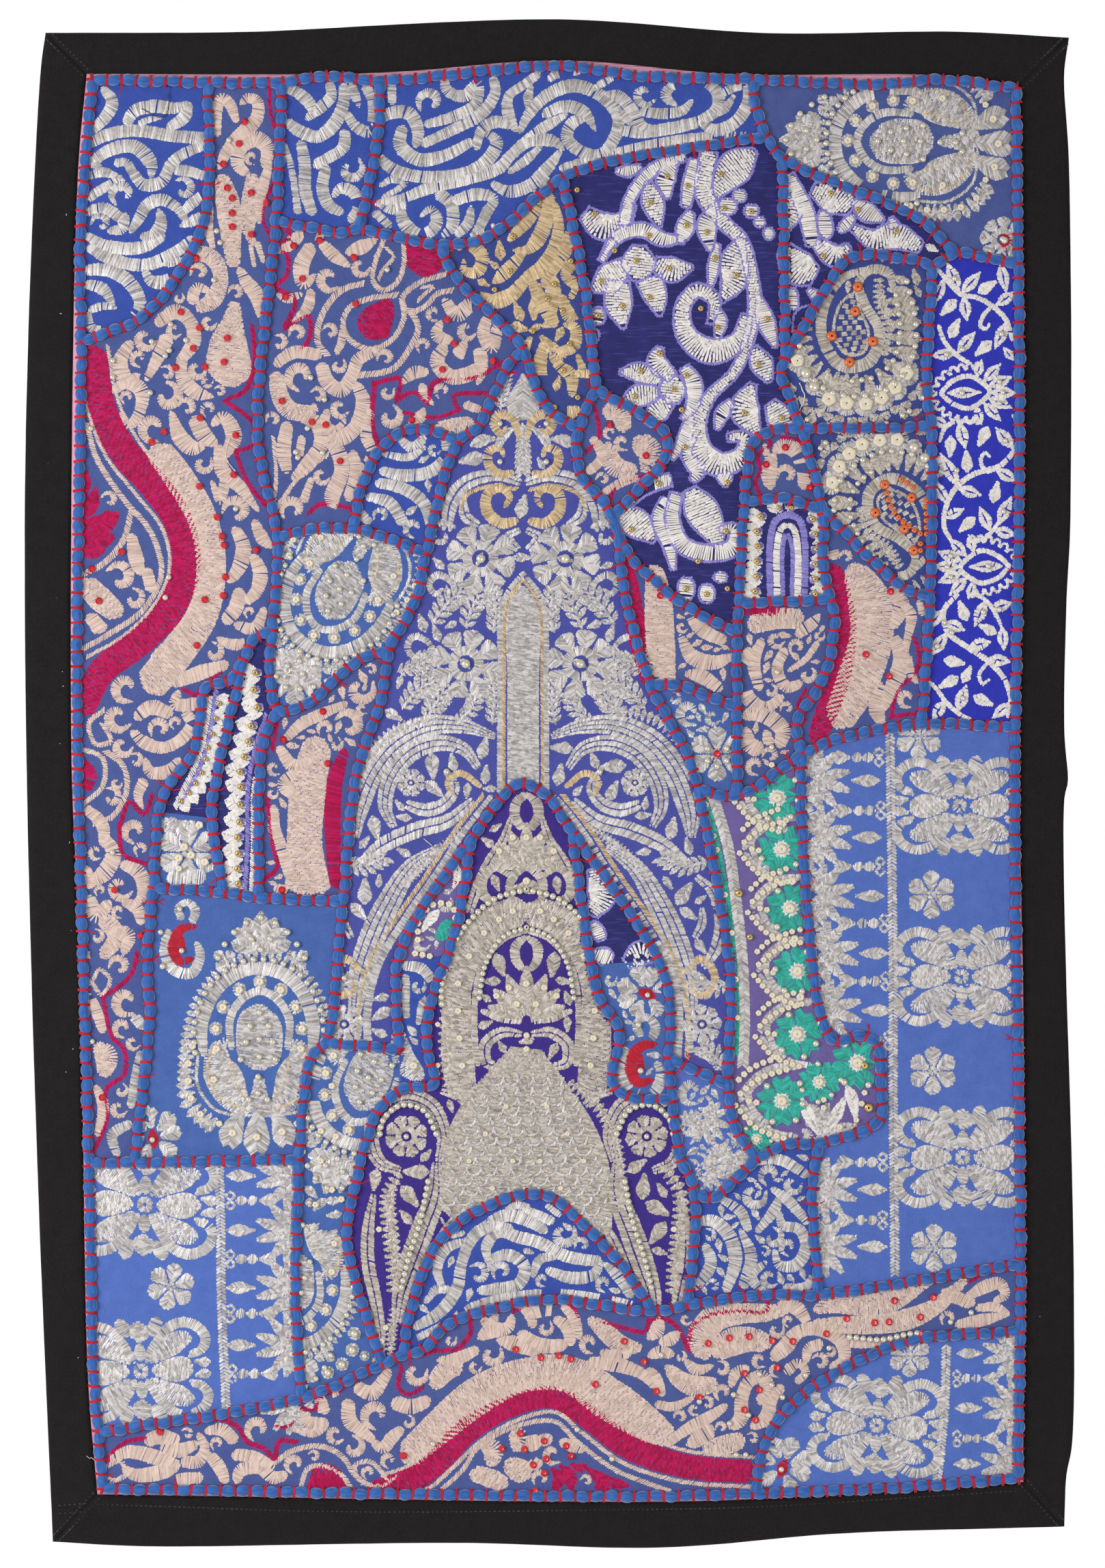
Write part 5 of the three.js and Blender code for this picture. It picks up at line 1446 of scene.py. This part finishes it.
worked("""
magenta satin 540,2186,30 60,-18,38 40,-28 42,-44 58,-34,34 70,-16 50,28,36 60,44,38 80,28,36
  104,10,34
peach satin 590,2138,40 55,-50,50 55,-44,56 60,-28,50 70,-4,54 66,40,62 54,36,50 40,24,24
peach rope 566,2196,6 58,-14 38,-32 40,-38 48,-29 62,-15 38,28 62,46 84,27 108,9|636,2190,7 40,-36
  24,-34 52,-30 60,-8 34,30 54,40 80,32|560,2160,5 50,-20 50,-55 70,-45 80,-16 60,26 60,45 74,29
  100,10
peach satin 700,2110,12 22,14,30 -6,22,17|690,2156,24 26,8,28 26,12,24|746,2098,12 14,8,29
  -8,18,14|742,2136,17 14,14,34 20,12,31|770,2116,24 22,-6,22|790,2104,17 16,8,22|776,2140,19
  16,8|820,2110,12 20,8,19 16,6,10
magenta leaf 808,2150,6 10,14,20 -6,18,6|820,2146 14,14,20 2,22,6|836,2144 14,6,14 8,-4,4|
  860,2150,6 18,16,20 12,18,6|878,2158 22,14,16 20,4,4|872,2176,5 8,6,12 10,4,4
peach satin 632,2030,24 18,-20,30 26,-12,24|640,1992,7 28,-2,19 32,-14,14|700,1960,10 16,-10,22
  28,-6,17 6,-18,10|706,1930 10,10,17 12,-14,10|728,1962 26,6,24 36,12,17|760,1952 30,18,22
  40,0,17|770,1930,12 22,-12,22 28,-2,17 12,-10,7|812,1930,12 18,14,19 6,26,14|824,1912,10
  16,18,17 8,30,12|744,1900,7 32,24,17 4,20,12|860,1930,10 20,14,24 28,24,26 32,8,14|860,1996,17
  40,2,22 40,14,17 22,18|880,1980,12 20,6,19 24,-4,10|948,1960 14,-12,22 4,-18,12|950,1986,10
  16,-6,19 20,4,12|966,1966 18,-6,19 12,-10,7|950,2004,12 10,16,19 10,24,12|976,2000,14 20,20,26
  24,10,31 30,-4,19|1004,1992,10 16,14,17 24,-6,7|960,2056,12 26,4,14 30,-14,7
peach satin 1034,1990,22 -8,-28,40 20,-30 40,-8,30 44,-2,24 30,-6,10|1044,1984,24 26,-18,40
  30,-4,36 28,8,24|1130,1990,17 20,-18,24 20,-22,19 30,-4,22 30,16 6,28,17 -20,14,12|1180,1996,10
  4,-20,17 20,-8|1140,1908,12 24,6,22 20,24,12|1190,1920 30,-10,26 40,2,30 40,-6,36 40,-22,28
  30,-12,12|1190,1936,10 40,4,24 50,0,28 50,-8,31 40,-18,24 30,-26,17 16,-16,10|1380,1890,12
  20,10,19 26,10,17|1416,1900,10 24,-14,19 24,-6,17 8,16,14 -16,10,10|1400,1940,12 36,-6,19
  44,-10,6|1430,1916,10 26,-2,14 20,8,7|1230,1966,10 40,2,14 50,-8,10
peach satin 980,2112,12 30,-22,17 30,-16 24,-16,10|1006,2116 14,-8,24 24,-18|1030,2122,19 30,-6,29
  30,-8,24|1068,2090,14 16,-12,22 2,-28,19 10,-26 20,-8 8,18,22 -12,22,17|1100,2090,12 22,-14,22
  8,-26,17 16,-20,14|1070,2030,10 8,-20,17 18,-6,12|1150,2010,17 20,-14,14 10,14,12 -14,14|
  1124,2090,10 6,-20,12
magenta rope 612,1986,8 28,-8 28,-2 22,-26 -2,-14 12,-10|752,1920 38,-14 16,-8|806,1898 30,14
  10,18|880,1936 30,8 34,6 6,-16|950,1934 26,-2 20,18 12,28|1008,1978 6,-34 26,-18 40,-6 42,0
  2,-20|1270,1884 40,-2|1420,1876 26,-12 24,-6
bead beads 1244,1958,9 46,4 40,-8 22,-2
stone dots 755,1976,9 37,12 26,-3 18,5 36,37 42,-63 29,30 18,43 63,9 13,-79 31,-8 29,-2 34,6 30,1
  -71,47 48,-8 -26,32 -22,29 16,15 104,-126 30,-22 41,6 21,-1 8,-31 38,24 19,-29 -19,53 -613,168
  27,-22 6,23 29,-12 32,7 -29,19 -19,9 55,-13 -39,25 -13,26 -193,-52
bead dots 634,2114,8 211,-21 51,43 72,-152 144,28 18,16 -56,14 22,30 -28,12 10,46 14,0 54,-84
  34,-32 212,-78 30,-14 -208,52 -190,78
""")

# The smallest ornaments: curls, leaves and ringed beads in the gaps of each scrap, in the threads
# of its larger motifs. A row gives the thread, the kind, the least and most size, and the scraps.

FILLING = """
peach curl 7.5 20 peach_column peach_band_left peach_wedge peach_leaves peach_wave peach_heart
peach curl 7.5 20 peach_band_right
peach curl 10 20 peach_rose peach_leaf
peach leaf 5 9 peach_band_left peach_wedge peach_leaves
silver curl 8 18 little_scroll arch_scroll scroll_scrap_left scroll_scrap_right fan_scrap rosette
silver curl 8 18 teal_scrap flower_scrap
silver curl 12 18 corner_scroll small_scroll wide_scroll
silver leaf 4.5 10 scroll_scrap_left scroll_scrap_right fan_scrap rosette teal_scrap flower_scrap
silver leaf 5.5 10 silver_flower bead_scrap bead_paisley arch_scroll little_scroll
gold leaf 6.5 12 gold_leaves
silver leaf 7.5 16 yoke
tan leaf 7.5 16 arch_panel
tan leaf 6.5 10 bead_sprays bead_sprays_low
white leaf 11 13 vine
white leaf 8 14 leaf_strip_left leaf_strip_right
white leaf 7 12 white_sprig
bead ring 8 11 bead_sprays bead_sprays_low bead_paisley bead_scrap half_paisley silver_flower
bead ring 5.5 8 bead_paisley bead_scrap
"""
RASTER = 3.0
FURTHEST = 32
THREAD_ROOM = 1.5
SEAM_ROOM = 11


def gap_to(points, x, y):
    """Distance from each place of an even grid to the nearest of the points, up to 32 squares."""
    taken = np.zeros(x.shape, bool)
    near = np.rint((points - [x[0, 0], y[0, 0]]) / RASTER).astype(int)
    near = near[((near >= 0) & (near < [x.shape[1], x.shape[0]])).all(1)]
    taken[near[:, 1], near[:, 0]] = True
    gap = np.where(taken, 0.0, FURTHEST)
    for i in range(-10, 11):
        for j in range(-10, 11):
            gap = np.minimum(gap, np.where(np.roll(taken, (i, j), (0, 1)),
                                           RASTER * np.hypot(i, j), FURTHEST))
    return gap


def filled(name, thread, kind, least, most):
    """Small motifs in the bare places of a patch, each as large as its gap: the point furthest
    from all thread and seams takes the next one, until no gap is wider than the least."""
    number = patch_names.index(name)
    down, across = np.nonzero(owner == number)
    x, y = np.meshgrid(np.arange(grid_x[across.min()] - 36, grid_x[across.max()] + 45, RASTER),
                       np.arange(grid_y[down.min()] - 36, grid_y[down.max()] + 45, RASTER))
    rows = np.vstack([np.vstack(group) for group in stitches.values()])
    used = np.vstack([rows[:, :2] * (1 - t) + rows[:, 2:4] * t for t in (0, 0.5, 1)])
    room = np.minimum(gap_to(used, x, y) - THREAD_ROOM, gap_to(seam_points, x, y) - SEAM_ROOM)
    inside = owner_of(x, y) == number
    spots, room = np.stack([x, y], -1)[inside], room[inside]
    while room.max() > least:
        spot, size = spots[room.argmax()], min(room.max(), most)
        turn = chance.uniform(0, 2 * np.pi)
        if kind == "curl":
            angle = turn + np.radians([0, 55, 110, 170, 230, 280])
            reach = size * np.array([1.05, 0.98, 0.85, 0.68, 0.48, 0.3])
            width = size * np.array([0.2, 0.55, 0.75, 0.75, 0.55, 0.4])
            satin(thread, np.column_stack([spot[0] + reach * np.cos(angle),
                                           spot[1] + reach * np.sin(angle), width]), 2.0)
        elif kind == "leaf":
            way = np.array([np.cos(turn), np.sin(turn)]) * size * 1.15
            leaflet(thread, spot - way, spot + way, size * 1.3)
        else:
            ringed(thread, np.array([(*spot, size * 1.05)]))
        room = np.minimum(room, np.hypot(*(spots - spot).T) - size * 1.1)


for thread, kind, least, most, names in rows_of(FILLING, 5):
    for name in names.split():
        filled(name, thread, kind, float(least), float(most))

# Loose ends: a long black basting thread at the top left, stray floss, and tufts of the red
# thread beside its knots.

LOOSE = """
black 249,118 -2,32 -2,15 -8,7 -30,-13
white 1170,560 8,20 -7,24 9,18|336,640 -6,28 14,22
silver 620,1228 20,14 12,-6|1010,1640 14,12 -4,20
red 100,842 20,-6 12,6
"""
LOOSE_LIFT = 0.9
TUFTS = 60
TUFT_LENGTH = 9
for thread, runs in rows_of(LOOSE):
    for run in strokes_of(runs):
        line = drawn(run, 4.0)
        laid(thread, line[:-1], line[1:], 1.3)
        stitches[thread][-1][:, 5] += LOOSE_LIFT
knots = np.vstack(catches)
knots = knots[chance.choice(len(knots), TUFTS, replace=False)]
for hand in (0, 2):
    away = knots[:, hand:hand + 2] - knots[:, 2 - hand:4 - hand]
    away /= np.hypot(*away.T)[:, None]
    for spread in chance.uniform(-0.9, 0.9, 3):
        sway = away + np.stack([-away[:, 1], away[:, 0]], -1) * spread
        laid("red", knots[:, hand:hand + 2], knots[:, hand:hand + 2] + sway * TUFT_LENGTH, 1.5)
        stitches["red"][-1] = stitches["red"][-1][chance.uniform(0, 1, TUFTS) > 0.5]

# The threads themselves, as meshes: metal thread, matt cotton floss and sewing thread, in one
# mesh for each thread on each patch.

EDGE_DROP = 0.16


def lustrous(name, dark, light, rough, metal=0.0, sheen=0.2, specular=0.4):
    """Thread whose tone is set stitch by stitch and in soft blots, between a dark and a light
    colour.
    This is partly the thread's own uneven tone and partly painted shade and highlight, as metal
    thread catches the light. Two strands to a stitch as bump.
    """
    material, shader, place = base_material(name, rough, metal, sheen, specular)
    own = mixed(material, "SeparateXYZ", Vector=mixed(material, "UVMap").outputs[0])
    # The tone is uneven thread mixed with painted shade and highlight, by stitch and in blots.
    blots = mixed(material, "TexNoise", Scale=420.0, Detail=2.0, Vector=place)
    spread = reckoned(material, "MULTIPLY_ADD", blots.outputs["Fac"], 0.7, -0.15)
    tone = reckoned(material, "MULTIPLY_ADD", own.outputs[0], 0.65, spread)
    fitted(material, shader, "Base Color", blended(material, tone, dark, light))
    strands = reckoned(material, "MULTIPLY", own.outputs[1], 12.6)
    ridges = reckoned(material, "SINE", strands)
    bump = mixed(material, "Bump", Strength=0.35, Distance=0.0002, Height=ridges)
    fitted(material, shader, "Normal", bump.outputs[0])
    return material


def bars(name, rows, profile, resting, material, way=1):
    """Arched stitches in one mesh. Each is as many points long as its height profile has, and
    three wide with the edges lower than the crest. They arch forward, or back where the way
    is -1. One of three points arches more the longer it is."""
    a, b, thick, lift = rows[:, 0:2], rows[:, 2:4], rows[:, 4], rows[:, 5]
    count, steps = len(rows), len(profile)
    length = np.hypot(*(b - a).T)
    along = (b - a) / (length[:, None] + 1e-9)
    side = np.stack([-along[:, 1], along[:, 0]], -1)
    t = np.linspace(0, 1, steps)[None, :, None, None]
    across = np.array([-0.5, 0, 0.5])[None, None, :, None]
    flat = (a[:, None, None] + (b - a)[:, None, None] * t
            + side[:, None, None] * across * thick[:, None, None, None])
    forward = resting(flat[..., 0], flat[..., 1]) + way * lift[:, None, None]
    arch = np.tile(profile, (count, 1))
    if steps == 3:
        arch = arch * np.clip(0.35 + length / 30, 0, 1)[:, None]
    forward = forward + way * (arch[:, :, None] - np.array([EDGE_DROP, 0, EDGE_DROP]))
    faces = grid_faces(steps, 3)[:, ::-way]
    faces = (faces + (np.arange(count) * steps * 3)[:, None, None]).reshape(-1, 4)
    piece = surface_of(name, placed(flat[..., 0], flat[..., 1], forward), faces, [material])
    # Each stitch's place between dark and light: uneven thread plus painted shade and highlight.
    tone = chance.uniform(0, 1, count)[:, None, None]
    uv = np.stack(np.broadcast_arrays(tone, np.zeros((1, steps, 1)), across[..., 0] + 0.5), -1)
    with_uv(piece, uv[..., [0, 2]].reshape(-1, 2))
    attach(piece, "root")


def set_at(rows, thick, lift):
    """Rows of stitch ends with a width and a lift added to each."""
    return np.column_stack([rows, thick + np.zeros(len(rows)), np.full(len(rows), lift)])


# Each thread's dark colour is partly painted shade, and its light colour partly painted highlight.
THREADS = {
    "silver": lustrous("zari_silver", (0.20, 0.182, 0.18), (0.76, 0.725, 0.71), 0.42, 0.3),
    "gold": lustrous("zari_gold", (0.30, 0.20, 0.10), (0.78, 0.60, 0.36), 0.42, 0.25),
    "tan": lustrous("zari_worn", (0.20, 0.165, 0.135), (0.70, 0.635, 0.57), 0.45, 0.25),
    "white": lustrous("floss_white", (0.56, 0.52, 0.50), (0.88, 0.84, 0.80), 0.65),
    "peach": lustrous("floss_peach", (0.44, 0.315, 0.27), (0.75, 0.585, 0.515), 0.75),
    "magenta": lustrous("floss_magenta", (0.24, 0.001, 0.035), (0.54, 0.005, 0.10), 0.8,
                        sheen=0.05, specular=0.2),
    "teal": lustrous("floss_teal", (0.005, 0.22, 0.17), (0.02, 0.50, 0.40), 0.55),
    "lilac": lustrous("floss_lilac", (0.15, 0.13, 0.42), (0.30, 0.26, 0.66), 0.6),
    "red": lustrous("thread_red", (0.30, 0.004, 0.016), (0.54, 0.012, 0.034), 0.75,
                    sheen=0.1, specular=0.25),
    "black": lustrous("thread_black", (0.010, 0.009, 0.010), (0.05, 0.046, 0.05), 0.8),
}
for thread, rows in stitches.items():
    rows = np.vstack(rows)
    start, end = owner_of(*rows[:, 0:2].T), owner_of(*rows[:, 2:4].T)
    middle = owner_of(*((rows[:, 0:2] + rows[:, 2:4]) / 2).T)
    keep = (start == middle) & (end == middle) & (middle >= 0)
    for number in np.unique(middle[keep]):
        bars(f"{thread}_on_{patch_names[number]}", rows[keep & (middle == number)],
             (0.10, 0.62, 0.10), lying, THREADS[thread])

# The red catch stitches over the roving. Each comes up beside it, crosses it in the narrow neck
# between two puffs, and goes back down. Behind the ground cloth it runs slantwise to the next.

backs = np.vstack([np.hstack([run[:-1, :2], run[1:, 2:]]) for run in catches])
fronts = np.vstack(catches)
bars("catch_stitch_backs", set_at(backs, 3.0, 0.0), (0.0, 0.7, 0.75, 0.7, 0.0), hang,
     THREADS["red"], -1)
bars("catch_stitches", set_at(fronts, chance.uniform(3.2, 4.6, len(fronts)), 0.0),
     (1.9, 4.75, 5.45, 4.75, 1.9), hang, THREADS["red"])

# The black topstitching of the border: two rows beside the fold of each mitre, which hold it
# flat, one row along the lower strip, and two across its left end.

STITCH_STEP = 7.0
STITCH_HALF = 2.7
PAIRED = (-6, 6)
TOPSTITCHING = [
    ("126,107 -60,-60", PAIRED),
    ("1493,125 73,-71", PAIRED),
    ("1499,2171 60,65", PAIRED),
    ("142,2189 -65,69", PAIRED),
    ("140,2203 360,11 413,-3 191,-4 393,-24", (0,)),
    ("84,2211 52,-4", PAIRED),
]
topstitches = []
for route, shifts in TOPSTITCHING:
    line = drawn(route, STITCH_STEP)[:-2]
    side, along = axes_of(line)
    for shift in shifts:
        middle = line + side * shift + along * STITCH_STEP / 2
        topstitches.append(np.column_stack([middle - along * STITCH_HALF,
                                            middle + along * STITCH_HALF]))
bars("corner_stitches", set_at(np.vstack(topstitches), 1.7, 1.72), (0.0, 0.5, 0.0), hang,
     THREADS["black"])

# White lint caught on the black border at the left and right, and one frayed thread end at its
# lower left corner.

LINT = (((113, 300), (137, 2016), 12), ((1480, 300), (1488, 2000), 4))
FRAYED = "126,2132 5,4 3,-1 6,6"
lint = []
for start, end, count in LINT:
    spot = np.array(start) + np.outer(chance.uniform(0, 1, count), np.subtract(end, start))
    spot[:, 0] += np.where(spot[:, 0] < MIDDLE, -1, 1) * chance.uniform(14, 50, count)
    lint.append(np.hstack([spot, spot + chance.normal(0, 1.6, (count, 2))]))
frayed = drawn(FRAYED, 3.0)
lint.append(np.hstack([frayed[:-1], frayed[1:]]))
bars("lint", set_at(np.vstack(lint), 0.8, 1.85), (0.0, 0.3, 0.0), hang, THREADS["white"])

# The beads and stones: faceted red rhinestones, small silver and gold beads, cream flower-shaped
# bone beads and orange seed beads, each sewn through its middle.


def glassy(name, colour, rough, metal=0.0, coat=0.0, mottle=0.75):
    """A smooth bead with a slightly uneven colour."""
    material, shader, place = base_material(name, rough, metal, specular=0.6)
    shader.inputs["Coat Weight"].default_value = coat
    fitted(material, shader, "Base Color",
           blotted(material, place, (colour, [c * mottle for c in colour]), 500.0))
    return material


BEADS = {
    "stone": (glassy("stone_red", (0.66, 0.006, 0.018), 0.1, 0.1, 0.8), "stone_red",
              [(0.6, 0.3), (0.6, 1.1), (0.32, 2.2), (0, 2.3)], 8, 0),
    "bead": (glassy("bead_silver", (0.74, 0.69, 0.57), 0.22, 0.45, 0.3), "bead_silver",
             [(0.35, 0.1), (0.56, 0.9), (0.5, 1.9), (0.18, 2.5), (0, 2.5)], 9, 0),
    "brass": (glassy("bead_gold", (0.60, 0.42, 0.16), 0.28, 0.7), "zari_gold",
              [(0.3, 0.1), (0.5, 0.9), (0.44, 1.7), (0.16, 2.1), (0.08, 1.4)], 9, 0),
    "seed": (glassy("bead_orange", (0.75, 0.14, 0.02), 0.3, 0, 0.4), "bead_orange",
             [(0.4, 0.1), (0.5, 0.7), (0.32, 1.4), (0.1, 1.3)], 8, 0),
    "moti": (glassy("bead_cream", (0.78, 0.69, 0.53), 0.45, 0, 0.2), "bead_cream",
             [(0.44, 0.2), (0.5, 0.8), (0.40, 1.5), (0.16, 1.2), (0.05, 0.9)], 15, 5),
}


def sewn_beads(name, rows, kind):
    """Beads in one mesh. Each is its outline turned round its middle, in parts of its width out
    and in millimetres up, with a ripple of 0.1 where it has petals."""
    material, slot, outline, around, petals = BEADS[kind]
    x, y, wide = rows.T[:, :, None, None]
    angle = np.linspace(0, 2 * np.pi, around, endpoint=False)
    turn = chance.uniform(0, 6, x.shape)
    out, up = np.array(outline).T[:, None, :, None]
    reach = out * wide * (1 + 0.1 * np.cos(petals * angle) * (out > 0.2) * (petals > 0))
    px = x + reach * np.cos(angle + turn)
    py = y + reach * np.sin(angle + turn)
    forward = lying(x, y) + 0.15 + up * np.clip(wide / 9, 0.5, 1.3) + 0 * px
    faces = grid_faces(len(outline), around, close_columns=True)
    faces = (faces + (np.arange(len(x)) * len(outline) * around)[:, None, None])
    piece = surface_of(name, placed(px, py, forward), faces.reshape(-1, 4), [material],
                       smooth=kind != "stone")
    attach(piece, "root")


for kind, rows in beads.items():
    rows = np.vstack(rows)
    on = owner_of(rows[:, 0], rows[:, 1])
    for number in np.unique(on[on >= 0]):
        sewn_beads(f"{kind}_on_{patch_names[number]}", rows[on == number], kind)
